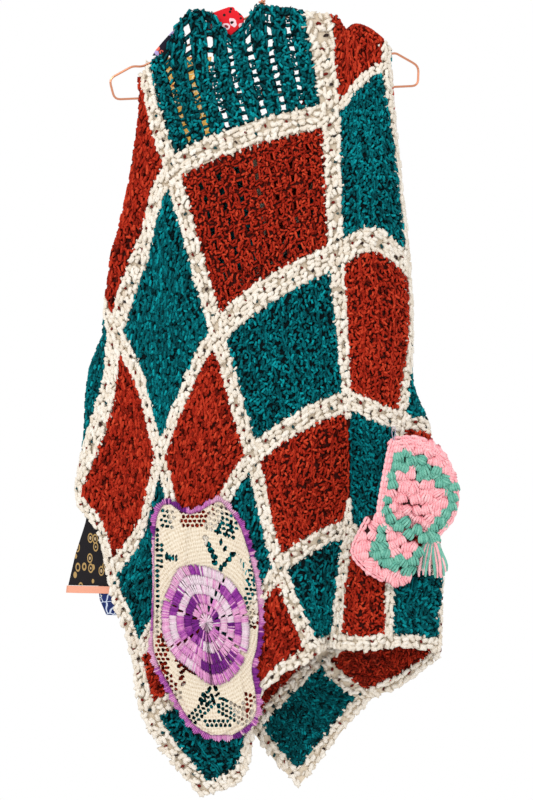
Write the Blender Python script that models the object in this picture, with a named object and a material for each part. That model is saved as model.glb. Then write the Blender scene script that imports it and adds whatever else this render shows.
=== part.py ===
"""A crochet patchwork wrap skirt hanging on a wire clothes hanger.

The skirt is one blanket of 35 crocheted squares, 7 across and 5 down, teal and rust in turn.
A cream border runs between the squares and round the hem and both free edges. The blanket is
wrapped round, so it makes a front, a right side and a back, and hangs from the hanger.
Two pockets hang on the front: a lace doily and a granny-square potholder with a tassel.
Pieces of printed cotton show at the neck, behind the open stitches and at the left hem.

All of the cloth is worked out from one surface. The crossings of the borders are its driving
points, and every square and border is a stretch of that surface, given its thickness.
Frame: millimetres in the tables, metres in the model, +X right, +Z up, the front faces -Y.
The origin is the top of the hook's inside, where a rod holds it.
"""

import itertools
import math

import bmesh
import bpy
import numpy as np
from mathutils import Matrix, Vector
from mathutils.bvhtree import BVHTree

MM = 0.001

# Driving dimensions, in millimetres.
CROCHET_WALL = 6.0
RIB_RISE = 1.8
SEAM_GAP = 0.3
RIBBED_SEAM_GAP = 0.5  # ribbed squares, whose edges have finer steps than their borders
RESTING_GAP = 0.4
BORDER_WIDTH = 31.0
LACE_WALL = 1.4
FLOWER_WALL = 1.6
POTHOLDER_WALL = 7.0
COTTON_WALL = 1.2
WIRE_RADIUS = 1.5

BORDERS = 8
ROWS = 5
THINNING_ROUNDS = 12
TIGHT_SHARE = 0.3  # least share of a cell's area that is left on the inside of a fold
LEAST_WALL = 0.2  # least share of the wall's thickness in a fold
STEPS = 4  # mesh steps across a square, each way
FINER_STEPS = 4  # mesh steps across a ribbed or open square for each plain one
RIBS = 8  # ribs of stitches across a square

# Where the borders cross, border by border from the left free edge round to the back one.
# Each point is (across, depth, drop) at the top edge, rows 1 to 4 and the hem.
CROSSINGS = (
    ((-166, 16, 503), (-234, -8, 683), (-188, -26, 780), (-162, -34, 902), (-147, -38, 975), (-75, -34, 1076)),
    ((-118, 15, 315), (-201, -12, 479), (-133, -44, 642), (-97, -50, 791), (-52, -44, 911), (-16, -34, 1008)),
    ((-156, -9, 134), (-118, -34, 270), (-59, -46, 481), (-13, -50, 642), (22, -52, 787), (68, -52, 893)),
    ((76, -9, 59), (90, -32, 192), (97, -44, 381), (111, -40, 571), (112, -26, 738), (97, -34, 882)),
    ((158, 9, 122), (163, -9, 131), (192, 2, 398), (181, -22, 598), (167, -36, 778), (165, -36, 882)),
    ((94, 20, 100), (96, 34, 228), (112, 44, 438), (212, 6, 617), (233, 2, 797), (232, 0, 898)),
    ((-8, 16, 244), (0, 40, 405), (10, 48, 562), (39, 44, 738), (81, 34, 910), (139, 26, 961)),
    ((-147, 9, 126), (-157, 30, 366), (-160, 36, 588), (-114, 36, 804), (-10, 20, 998), (48, 8, 1068)),
)

# Where the cloth leaves the smooth run between crossings: the crest over the hanger, the
# folds at both sides and the troughs at the hem. Columns: border, row, across, depth, drop.
FOLDS = (
    (0, 0.5, -208, 14, 597),
    (0, 1.5, -211, -22, 735),
    (0, 2.5, -181, -32, 839),
    (0, 3.5, -157, -38, 940),
    (0, 4.5, -118, -38, 1024),
    (0.5, 0, -140, 18, 409),
    (0.5, 0.5, -210, 7, 519),
    (0.5, 1, -213, -18, 579),
    (0.5, 1.5, -187, -34, 649),
    (0.5, 2, -165, -38, 733),
    (0.5, 5, -31, -36, 1055),
    (1, 0.5, -168, 9, 398),
    (1.5, 0, -131, -6, 220),
    (1.5, 0.5, -175, -16, 307),
    (1.5, 1, -160, -30, 372),
    (1.5, 2, -97, -48, 549),
    (1.5, 5, 3, -48, 937),
    (2, 0.5, -139, -22, 202),
    (2.5, 0, -39, -9, 89),
    (2.5, 3.5, 50, -54, 686),
    (2.5, 4.5, 76, -34, 830),
    (2.5, 5, 83, -18, 884),
    (3, 3.5, 115, -12, 655),
    (3, 4.5, 104, -24, 814),
    (3.5, 0, 120, 10, 118),
    (3.5, 0.5, 123, 1, 75),
    (3.5, 1, 128, -18, 152),
    (3.5, 1.5, 144, -34, 254),
    (3.5, 2, 144, -38, 359),
    (3.5, 2.5, 152, -44, 477),
    (3.5, 3, 147, -42, 584),
    (3.5, 3.5, 147, -42, 673),
    (3.5, 4, 139, -44, 762),
    (3.5, 4.5, 126, -48, 830),
    (3.5, 5, 123, -48, 885),
    (4, 0.5, 165, -1, 102),
    (4, 1.5, 178, -2, 261),
    (4, 2.5, 194, -2, 490),
    (4.5, 0, 134, 17, 100),
    (4.5, 0.5, 152, 18, 116),
    (4.5, 1, 160, 20, 170),
    (4.5, 1.5, 162, 30, 281),
    (4.5, 2, 168, 36, 418),
    (4.5, 2.5, 183, 26, 519),
    (4.5, 3.5, 196, -22, 706),
    (4.5, 4.5, 199, -26, 846),
    (4.5, 5, 199, -24, 884),
    (5, 0.5, 94, 28, 160),
    (5, 2.5, 167, 34, 532),
    (5, 3.5, 225, 4, 712),
    (5.5, 0, 44, 18, 190),
    (5.5, 0.5, 48, 28, 250),
    (5.5, 1, 50, 38, 322),
    (5.5, 5, 183, 16, 939),
    (6.5, 0, -77, 13, 202),
)

# Smaller bulges. Columns: border, row, reach along the borders, reach along the rows,
# then the push across, in depth and in drop.
BULGES = (
    (1.25, 0.75, 0.40, 0.40, -14, 4, 0),
    (0.25, 0.75, 0.40, 0.40, -12, 2, 0),
    (2.25, 0.00, 0.19, 0.40, 0, 0, -34),
    (2.65, 0.00, 0.14, 0.35, 0, 0, -20),
    (3.25, 0.00, 0.26, 0.35, 0, 0, -14),
)

TEAL = (0.002, 0.155, 0.168)
RUST = (0.42, 0.030, 0.012)
CREAM = (0.86, 0.78, 0.65)
COPPER = (0.62, 0.27, 0.15)
PINK = (1.0, 0.38, 0.46)
MINT = (0.11, 0.45, 0.36)
PURPLE = (0.30, 0.03, 0.36)
LILAC = (0.84, 0.40, 0.80)
ECRU = (0.84, 0.74, 0.55)
BLACK = (0.02, 0.017, 0.015)
PEACH = (0.87, 0.38, 0.25)
NAVY = (0.03, 0.04, 0.14)
RED = (0.70, 0.01, 0.03)
OCHRE = (0.78, 0.44, 0.10)


def clear_scene():
    for item in list(bpy.data.objects):
        bpy.data.objects.remove(item, do_unlink=True)


def collection(name):
    made = bpy.data.collections.new(name)
    bpy.context.scene.collection.children.link(made)
    return made


def material(name, colour, roughness, metallic=0.0):
    made = bpy.data.materials.new(name)
    made.use_nodes = True
    shader = made.node_tree.nodes["Principled BSDF"]
    shader.inputs["Base Color"].default_value = (*colour, 1.0)
    shader.inputs["Roughness"].default_value = roughness
    shader.inputs["Metallic"].default_value = metallic
    return made


# The surface of the cloth.


def through(before, start, end, after, share):
    """A smooth curve from start to end that keeps the slope of its neighbours."""
    return 0.5 * (
        2 * start
        + (end - before) * share
        + (2 * before - 5 * start + 4 * end - after) * share**2
        + (3 * start - before - 3 * end + after) * share**3
    )


def with_margin(net):
    """The net of points with one more row on each side, in line with the last two."""
    net = np.concatenate([2 * net[:1] - net[1:2], net, 2 * net[-1:] - net[-2:-1]])
    return np.concatenate([2 * net[:, :1] - net[:, 1:2], net, 2 * net[:, -1:] - net[:, -2:-1]], axis=1)


def on_net(net, a, b):
    """Points of the smooth surface through a net, at places counted in its own steps."""
    wide = with_margin(net)
    i = np.clip(np.floor(a).astype(int), 0, net.shape[0] - 2)
    j = np.clip(np.floor(b).astype(int), 0, net.shape[1] - 2)
    along = (b - j)[..., None]
    lines = [through(wide[i + k, j], wide[i + k, j + 1], wide[i + k, j + 2], wide[i + k, j + 3], along)
             for k in range(4)]
    return through(*lines, (a - i)[..., None])


def cloth_net():
    """The driving points at every half step between borders and rows."""
    borders, rows = np.mgrid[0:BORDERS - 1:1j * (2 * BORDERS - 1), 0:ROWS:1j * (2 * ROWS + 1)]
    net = on_net(np.array(CROSSINGS, float), borders, rows)
    for border, row, *place in FOLDS:
        net[int(border * 2), int(row * 2)] = place
    return net


CLOTH_NET = cloth_net()


def bump(distance, reach):
    """A smooth hump, 1 in the middle and 0 past its reach."""
    return np.cos(0.5 * np.pi * np.clip(distance / reach, -1, 1)) ** 2


def cloth(border, row):
    """The middle of the cloth, as (across, depth, drop), at a border and row number."""
    border, row = np.broadcast_arrays(np.asarray(border, float), np.asarray(row, float))
    place = on_net(CLOTH_NET, border * 2, row * 2)
    for at_border, at_row, reach_border, reach_row, *push in BULGES:
        weight = bump(border - at_border, reach_border) * bump(row - at_row, reach_row)
        place = place + weight[..., None] * np.array(push, float)
    return place


SLOPE_STEP = 0.02  # in borders or rows, for the cloth's slope
NARROWEST, WIDEST = 0.06, 0.17  # half a border as a share of a square, where the cloth is bunched or spread


def half_border(border, row, across_border):
    """Half a border's width as a share of the square beside it."""
    side, down = (SLOPE_STEP, 0.0) if across_border else (0.0, SLOPE_STEP)
    slope = (cloth(border + side, row + down) - cloth(border - side, row - down)) / (2 * SLOPE_STEP)
    return np.clip(0.5 * BORDER_WIDTH / np.linalg.norm(slope, axis=-1), NARROWEST, WIDEST)


def cloth_samples():
    """The cloth's mesh points: at each border its two edges, then the steps across the square.

    The first index runs round the skirt, the second from the top edge to the hem.
    """
    period = STEPS + 1
    border = np.zeros(((BORDERS - 1) * period + 2, ROWS * period + 1))
    row = np.zeros(border.shape)
    for j in range(border.shape[1]):
        even_row = j // period + (j % period) / STEPS
        halves = [float(half_border(float(b), even_row, True)) for b in range(BORDERS)]
        for b, half in enumerate(halves):
            border[b * period:b * period + 2, j] = b - half, b + half
        for b in range(BORDERS - 1):
            first = b * period + 1
            border[first:first + period, j] = np.linspace(b + halves[b], b + 1 - halves[b + 1], period)
    for i in range(border.shape[0]):
        halves = [0.0]
        for r in range(1, ROWS + 1):
            halves.append(float(half_border(border[i, r * period], float(r), False)))
        for r in range(ROWS):
            row[i, r * period:(r + 1) * period] = np.linspace(r + halves[r], r + 1 - halves[r + 1], period)
        row[i, -1] = ROWS + halves[-1]
    return border, row


def metres(place):
    """(across, depth, drop) in millimetres as a point of the model in metres."""
    return Vector((place[0] * MM, place[1] * MM, -place[2] * MM))


def unit(vectors):
    return vectors / np.maximum(np.linalg.norm(vectors, axis=-1, keepdims=True), 1e-9)


MIDDLE = cloth(*cloth_samples())
MIDDLE[..., 2] *= -1  # from drop to height


def outward_normals(points):
    return unit(np.cross(np.gradient(points, axis=1), np.gradient(points, axis=0)))


OUTWARD = outward_normals(MIDDLE)


def corner_areas(points, across, down):
    """The area each grid point spans with its neighbours in one direction across and down."""
    middle = points[1:-1, 1:-1]
    beside = points[1 + across:points.shape[0] - 1 + across, 1:-1]
    below = points[1:-1, 1 + down:points.shape[1] - 1 + down]
    return np.cross(beside - middle, below - middle)


def thinned_in_folds(points, normals, half):
    """Half the wall at each point, made less where the inside of a tight fold would cross itself."""
    points = np.pad(points, [(1, 1), (1, 1), (0, 0)], mode="reflect", reflect_type="odd")
    normals = np.pad(normals, [(1, 1), (1, 1), (0, 0)], mode="edge")
    halves = np.full(points.shape[:2], half)
    for _ in range(THINNING_ROUNDS):
        for across, down, side in itertools.product((1, -1), (1, -1), (1, -1)):
            flat = corner_areas(points, across, down)
            moved = corner_areas(points + side * normals * halves[..., None], across, down)
            tight = (flat * moved).sum(axis=-1) < TIGHT_SHARE * (flat**2).sum(axis=-1)
            for i, j in ((0, 0), (across, 0), (0, down)):
                part = halves[1 + i:halves.shape[0] - 1 + i, 1 + j:halves.shape[1] - 1 + j]
                part[tight] *= 0.9
    return np.maximum(halves[1:-1, 1:-1], LEAST_WALL * half)


HALF_WALL = thinned_in_folds(MIDDLE, OUTWARD, 0.5 * CROCHET_WALL)[..., None]


# Walls made from a grid of points.


def wall(name, outer, inner, finish, keep=None):
    """A closed wall between two equal grids of points, in millimetres.

    It starts as a flat grid. The cells that keep refuses are deleted, the rest is extruded,
    and the two layers are moved to the outer and inner points. Twisted faces are split along
    their shorter diagonal, so that two walls split the faces of their common seam alike.
    """
    across, down = outer.shape[0] - 1, outer.shape[1] - 1
    mesh = bmesh.new()
    bmesh.ops.create_grid(mesh, x_segments=across, y_segments=down, size=0.5)
    if keep:
        gone = []
        for face in mesh.faces:
            centre = face.calc_center_median()
            cell = (int((centre.x + 0.5) * across), int((centre.y + 0.5) * down))
            if not keep(*cell):
                gone.append(face)
        bmesh.ops.delete(mesh, geom=gone, context="FACES")
    front = list(mesh.verts)
    made = bmesh.ops.extrude_face_region(mesh, geom=list(mesh.faces), use_keep_orig=True)
    back = [item for item in made["geom"] if isinstance(item, bmesh.types.BMVert)]
    for layer, points in ((front, outer), (back, inner)):
        for vertex in layer:
            i = round((vertex.co.x + 0.5) * across)
            j = round((vertex.co.y + 0.5) * down)
            vertex.co = Vector(points[i, j]) * MM
    bmesh.ops.recalc_face_normals(mesh, faces=list(mesh.faces))
    bmesh.ops.triangulate(mesh, faces=list(mesh.faces), quad_method="SHORT_EDGE")
    return add_object(name, mesh, finish)


def add_object(name, mesh, finish):
    data = bpy.data.meshes.new(name)
    mesh.to_mesh(data)
    mesh.free()
    data.materials.append(finish)
    made = bpy.data.objects.new(name, data)
    SKIRT.objects.link(made)
    return made


def finer(grid, times_across, times_down, rib_share=0.5):
    """A grid split into more steps that lie on its own flat cells.

    Steps across go in pairs, a rib of stitches and the gap beside it.
    """
    shares = []
    for step in range(grid.shape[0] - 1):
        for part in range(times_across):
            pair, odd = divmod(part, 2)
            inside = (pair + (rib_share if odd else 0.0)) * 2 / times_across
            shares.append(step + inside)
    shares.append(grid.shape[0] - 1)
    i = np.clip(np.floor(shares).astype(int), 0, grid.shape[0] - 2)
    t = (np.array(shares) - i)[:, None, None]
    grid = grid[i] * (1 - t) + grid[i + 1] * t
    shares = np.linspace(0, grid.shape[1] - 1, (grid.shape[1] - 1) * times_down + 1)
    j = np.clip(np.floor(shares).astype(int), 0, grid.shape[1] - 2)
    t = (shares - j)[None, :, None]
    return grid[:, j] * (1 - t) + grid[:, j + 1] * t


def drawn_in(points, gap, edges):
    """The grid with the named edges moved in by a seam's gap."""
    points = points.copy()
    if "left" in edges:
        points[0] += gap * unit(points[1] - points[0])
    if "right" in edges:
        points[-1] += gap * unit(points[-2] - points[-1])
    if "top" in edges:
        points[:, 0] += gap * unit(points[:, 1] - points[:, 0])
    if "bottom" in edges:
        points[:, -1] += gap * unit(points[:, -2] - points[:, -1])
    return points


# Which squares are open enough to see through, and how much of a rib's pitch is stitches.
# Columns: square, share of a rib that is solid, mesh steps down each sample step.
OPEN_SQUARES = {(2, 0): (0.60, 3), (2, 1): (0.72, 4)}
RIBBED = {(0, 1), (1, 1), (1, 2), (2, 2), (2, 3), (3, 0), (3, 1), (3, 2), (3, 3), (5, 1), (5, 2), (6, 1),
          (6, 2)}


def square(column, row):
    """One crocheted square: a wall with its ribs raised on the outside."""
    first, top = column * (STEPS + 1) + 1, row * (STEPS + 1)
    part = (slice(first, first + STEPS + 1), slice(top, top + STEPS + 1))
    is_open, ribbed = (column, row) in OPEN_SQUARES, (column, row) in RIBBED
    edges = ("left", "right", "bottom") + (("top",) if row else ())
    middle = drawn_in(MIDDLE[part], RIBBED_SEAM_GAP if ribbed or is_open else SEAM_GAP, edges)
    normal, half = OUTWARD[part], HALF_WALL[part]
    share, down = OPEN_SQUARES.get((column, row), (0.5, 1))
    keep = None
    rise = 0.0
    if is_open:
        middle, normal, half = (finer(grid, FINER_STEPS, down, share) for grid in (middle, normal, half))

        def keep(i, j):
            is_gap = i % 2 == 1 and i < 2 * RIBS - 1
            return not (is_gap and j % 2 == 1 and j < STEPS * down - 1)

    elif ribbed:
        middle, normal, half = (finer(grid, FINER_STEPS, 1) for grid in (middle, normal, half))
        rise = np.zeros(middle.shape[:2])
        rise[1:-1:2, 1:-1] = RIB_RISE
        rise = rise[..., None]
    outer = middle + normal * (half + rise)
    inner = middle - normal * half
    finish = YARNS["teal"] if (column + row) % 2 == 0 else YARNS["rust"]
    return wall(f"square_c{column + 1}_r{row + 1}", outer, inner, finish, keep)


def border(index):
    """One upright cream border, with the level borders and hem that reach to the next one."""
    first = index * (STEPS + 1)
    last = min(first + STEPS + 1, MIDDLE.shape[0] - 1)
    middle = drawn_in(MIDDLE[first:last + 1], SEAM_GAP, ("right",) if index < BORDERS - 1 else ())
    normal, half = OUTWARD[first:last + 1], HALF_WALL[first:last + 1]

    def keep(i, j):
        return i == 0 or j % (STEPS + 1) == STEPS

    outer = middle + normal * half
    inner = middle - normal * half
    return wall(f"border_{index + 1}", outer, inner, YARNS["cream"], keep)


# The hanger.

HANGER = {
    "neck": (0, 56),
    "left_shoulder": (-158, 130),
    "left_notch": (-170, 129),
    "left_tip": (-201, 146),
    "right_shoulder": (169, 113),
    "right_notch": (176, 112),
    "right_tip": (206, 129),
    "bar_left": (-194, 173),
    "bar_right": (205, 155),
}
END_RADIUS = 8.0
HOOK_INSIDE = 18.0
HOOK_START, HOOK_END = -62.0, 205.0  # degrees round the hook, from the shank to its tip
HOOK_STEPS = 20
TWIST_TURNS = 3
TWIST_PITCH = 3.6
TWIST_STEPS = 8
TWIST_FOOT = 2.0  # above the neck
WIRE_GAP = 0.35


def wire(name, points, finish):
    """A bent wire through points given in millimetres."""
    data = bpy.data.curves.new(name, "CURVE")
    data.dimensions = "3D"
    data.bevel_depth = WIRE_RADIUS * MM
    data.bevel_resolution = 2
    data.use_fill_caps = True
    line = data.splines.new("POLY")
    line.points.add(len(points) - 1)
    for point, place in zip(line.points, points):
        point.co = (*[value * MM for value in place], 1.0)
    data.materials.append(finish)
    made = bpy.data.objects.new(name, data)
    SKIRT.objects.link(made)
    return made


def rounded(corners, radius, steps=4):
    """A line through corners with each inner corner turned into a short curve."""
    line = [corners[0]]
    for before, corner, after in zip(corners, corners[1:], corners[2:]):
        before, corner, after = (np.array(p, float) for p in (before, corner, after))
        reach = min(radius, 0.45 * np.linalg.norm(before - corner), 0.45 * np.linalg.norm(after - corner))
        start = corner + unit(before - corner) * reach
        end = corner + unit(after - corner) * reach
        for k in range(steps + 1):
            t = k / steps
            line.append(tuple(start * (1 - t) ** 2 + corner * 2 * t * (1 - t) + end * t**2))
    line.append(corners[-1])
    return line


def hanger_frame(finish):
    """Both arms, the round ends and the bar, in one wire whose start twists round the shank."""

    def at(name, forward=0.0):
        return (HANGER[name][0], forward, -HANGER[name][1])

    twist_radius = 2 * WIRE_RADIUS + WIRE_GAP
    neck_height = -HANGER["neck"][1]
    twist = []
    for step in range(TWIST_STEPS * TWIST_TURNS + 1):
        turn = 2 * math.pi * step / TWIST_STEPS
        height = neck_height + TWIST_FOOT + TWIST_PITCH * (TWIST_TURNS - step / TWIST_STEPS)
        twist.append((twist_radius * math.cos(turn), twist_radius * math.sin(turn), height))
    names = ("right_shoulder", "right_notch", "right_tip", "bar_right", "bar_left", "left_tip", "left_notch",
             "left_shoulder")
    corners = [twist[-1]] + [at(name) for name in names] + [(-8.0, 0.0, neck_height - 4.0)]
    return wire("hanger_frame", twist[:-1] + rounded(corners, END_RADIUS), finish)


def hanger_hook(finish):
    """The shank and the round hook. The hook's inside top is the origin."""
    radius = HOOK_INSIDE + WIRE_RADIUS
    centre = -HOOK_INSIDE
    neck_height = -HANGER["neck"][1]
    foot = centre - radius
    bend = 2 * WIRE_RADIUS
    points = [(0.0, 0.0, neck_height - bend), (0.0, 0.0, foot - bend), (bend, 0.0, foot)]
    for step in range(HOOK_STEPS + 1):
        angle = math.radians(HOOK_START + (HOOK_END - HOOK_START) * step / HOOK_STEPS)
        points.append((radius * math.cos(angle), 0.0, centre + radius * math.sin(angle)))
    return wire("hanger_hook", points, finish)


# What lies on the front of the cloth.


def tree_of(grid):
    """A grid of points as a surface that a straight line can be cast at."""
    across, down = grid.shape[:2]
    faces = [(i * down + j, (i + 1) * down + j, (i + 1) * down + j + 1, i * down + j + 1)
             for i in range(across - 1) for j in range(down - 1)]
    return BVHTree.FromPolygons([Vector(p) for p in grid.reshape(-1, 3)], faces)


FAR = 400.0


def depths_at(tree, places):
    """How far forward a surface is at each (across, height), or nan beside it."""
    found = np.full(places.shape[:2], np.nan)
    for i, j in np.ndindex(*found.shape):
        hit = tree.ray_cast(Vector((places[i, j, 0], -FAR, places[i, j, 1])), Vector((0, 1, 0)))
        if hit[0]:
            found[i, j] = hit[0].y
    return found


def filled_in(depth):
    """Depths with each unknown one taken from the known ones around it, ring by ring."""
    while np.isnan(depth).any():
        around = np.pad(depth, 1, constant_values=np.nan)
        near = np.stack([around[:-2, 1:-1], around[2:, 1:-1], around[1:-1, :-2], around[1:-1, 2:]])
        known = (~np.isnan(near)).sum(axis=0)
        mean = np.nansum(near, axis=0) / np.maximum(known, 1)
        depth = np.where(np.isnan(depth) & (known > 0), mean, depth)
    return depth


def without_creases(depth, side):
    """Depths that touch the surface at its nearest places only, in front (-1) or behind (1)."""
    nearest = np.minimum if side < 0 else np.maximum
    around = np.pad(depth, 1, mode="edge")
    for i, j in itertools.product(range(3), range(3)):
        depth = nearest(depth, around[i:i + depth.shape[0], j:j + depth.shape[1]])
    smooth = depth
    for _ in range(4):
        around = np.pad(smooth, 1, mode="edge")
        mean = (around[:-2, 1:-1] + around[2:, 1:-1] + around[1:-1, :-2] + around[1:-1, 2:]) / 4
        smooth = nearest(mean, depth)
    return smooth


def with_depth(places, depth):
    return np.concatenate([places[..., :1], depth[..., None], places[..., 1:]], axis=-1)


def outline_grid(rows, across):
    """A grid of (across, height) from rows of (drop, left, right)."""
    rows = np.array(rows, float)
    t = np.linspace(0, 1, across + 1)[:, None]
    level = rows[None, :, 1] * (1 - t) + rows[None, :, 2] * t
    return np.stack([level, np.broadcast_to(-rows[:, 0], level.shape)], axis=-1)


def resampled(rows, count):
    """Rows of a table at equal steps along its first column, by straight lines."""
    rows = np.array(rows, float)
    drops = np.linspace(rows[0, 0], rows[-1, 0], count + 1)
    return np.stack([np.interp(drops, rows[:, 0], column) for column in rows.T], axis=1)


# The doily pocket. Columns: drop, left edge, right edge.
DOILY = (
    (706, -128, -52),
    (716, -136, -38),
    (730, -138, -28),
    (760, -140, -18),
    (800, -140, -8),
    (850, -141, -3),
    (890, -142, -6),
    (915, -134, -14),
    (945, -117, -8),
    (965, -106, -6),
    (980, -97, -8),
    (994, -86, -20),
    (1003, -66, -38),
)
DOILY_ACROSS, DOILY_DOWN = 10, 22
DOILY_BACK = -54.0  # the doily hangs straight and never dips behind this depth
# Cells cut through where the lace is open: the leaf above the flower, the net at the sides, the
# leaf below it. Columns: cell across, cell down. No two of them meet at a corner.
DOILY_OPENINGS = {
    (6, 4), (8, 4), (6, 6), (8, 6), (7, 8),
    (1, 2), (3, 2), (1, 4), (1, 6), (9, 10), (9, 12), (1, 15),
    (2, 18), (4, 17), (6, 18), (4, 19), (8, 19), (6, 20), (2, 20),
}


def doily(front):
    places = outline_grid(resampled(DOILY, DOILY_DOWN), DOILY_ACROSS)
    depth = np.fmin(depths_at(front, places), DOILY_BACK)
    inner = with_depth(places, without_creases(depth, -1) - RESTING_GAP)
    outer = inner - np.array([0, LACE_WALL, 0])

    def keep(i, j):
        return (i, j) not in DOILY_OPENINGS

    wall("doily_field", outer, inner, YARNS["ecru"], keep)
    return outer


FLOWER_CENTRE = (-79, 851)
FLOWER_REACH = (52, 77)
FLOWER_SIDES, FLOWER_RINGS = 18, 3
FLOWER_CROWN = 2.5
FLOWER_GAP = 0.6


def doily_flower(field):
    """The round flower of striped yarn at the doily's centre, a shallow crown on the lace."""
    lace = tree_of(field)
    mesh = bmesh.new()
    bmesh.ops.create_circle(mesh, cap_ends=True, segments=FLOWER_SIDES, radius=1.0)
    for _ in range(FLOWER_RINGS - 1):
        middle = [face for face in mesh.faces if face.calc_center_median().length < 0.05]
        bmesh.ops.inset_region(mesh, faces=middle, thickness=1.0 / FLOWER_RINGS, use_even_offset=False)
    base = list(mesh.verts)
    made = bmesh.ops.extrude_face_region(mesh, geom=list(mesh.faces), use_keep_orig=True)
    top = [item for item in made["geom"] if isinstance(item, bmesh.types.BMVert)]
    for layer, thickness in ((base, 0.0), (top, FLOWER_WALL)):
        for vertex in layer:
            across = FLOWER_CENTRE[0] + FLOWER_REACH[0] * vertex.co.x
            height = -FLOWER_CENTRE[1] + FLOWER_REACH[1] * vertex.co.y
            crown = FLOWER_CROWN * max(1 - vertex.co.x**2 - vertex.co.y**2, 0.0)
            depth = depths_at(lace, np.array([[[across, height]]]))[0, 0] - FLOWER_GAP - crown - thickness
            vertex.co = Vector((across, depth, height)) * MM
    bmesh.ops.recalc_face_normals(mesh, faces=list(mesh.faces))
    return add_object("doily_flower", mesh, YARNS["lilac"])


EDGING_WIDTH = 9.0
EDGING_WAVE_STEPS = 4  # rim points in one wave of the ruffle
EDGING_RISE = 2.0
FORWARD = np.array([0.0, -1.0, 0.0])


def doily_edging(field):
    """The ruffled edging sewn round the doily, one strip whose ends meet at a corner."""
    rim = np.concatenate([field[:-1, 0], field[-1, :-1], field[:0:-1, -1], field[0, :0:-1]])
    along = unit(np.roll(rim, -1, axis=0) - np.roll(rim, 1, axis=0))
    out = unit(np.cross(FORWARD, along))
    out *= np.sign((out * (rim - rim.mean(axis=0))).sum())
    wave = 1 + np.sin(2 * np.pi * np.arange(len(rim)) / EDGING_WAVE_STEPS)
    far = rim + out * EDGING_WIDTH + FORWARD * EDGING_RISE * wave[:, None]
    strip = np.stack([rim + out * RESTING_GAP, far], axis=1)
    strip = np.concatenate([strip, strip[:1]])
    strip[-1] += SEAM_GAP * unit(strip[-2] - strip[-1])
    wall("doily_edging", strip + FORWARD * LACE_WALL, strip, YARNS["purple"])


# The potholder pocket: a square over a second one that turns under it.
# Columns: drop, left edge, right edge.
POTHOLDER_TOP = (
    (617, 168, 196),
    (622, 165, 222),
    (636, 162, 236),
    (660, 157, 248),
    (690, 152, 256),
    (715, 147, 253),
    (735, 152, 242),
    (748, 176, 226),
)
POTHOLDER_FLAP = (
    (716, 138, 146),
    (742, 124, 150),
    (765, 113, 172),
    (780, 124, 205),
    (795, 142, 200),
    (806, 164, 186),
)
POTHOLDER_ACROSS, POTHOLDER_DOWN = 6, 8
POTHOLDER_CROWN = 4.0
POTHOLDER_BACK = -36.0  # a potholder stays this far forward beside the cloth that it hangs on


def potholder(name, table, below, finish):
    """A thick crocheted square with a low crown, on the surfaces below it. Returns its front points."""
    places = outline_grid(resampled(table, POTHOLDER_DOWN), POTHOLDER_ACROSS)
    depth = np.full(places.shape[:2], POTHOLDER_BACK)
    for surface in below:
        depth = np.fmin(depths_at(surface, places), depth)
    depth = without_creases(depth, -1) - RESTING_GAP
    t, s = np.linspace(0, 1, POTHOLDER_ACROSS + 1)[:, None], np.linspace(0, 1, POTHOLDER_DOWN + 1)[None, :]
    crown = POTHOLDER_CROWN * np.sin(np.pi * t) * np.sin(np.pi * s)
    outer = with_depth(places, depth - crown - POTHOLDER_WALL)
    wall(name, outer, with_depth(places, depth), finish)
    return outer


TASSEL_ROWS, TASSEL_PER_ROW = 3, 7
TASSEL_LENGTH = 52.0
SHORTEST_STRAND = 0.78  # as a share of the tassel's length
STRAND_STEPS = 3
STRAND_SPREAD = (0.55, 0.2)  # across and in depth, at the first step down
STRAND_SWAY = 1.2
KNOT = (22.0, 10.0, 9.0)  # the knot's width and depth at its foot, and its height
KNOT_TAPER = 0.7
KNOT_INSET = 6.0


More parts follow.
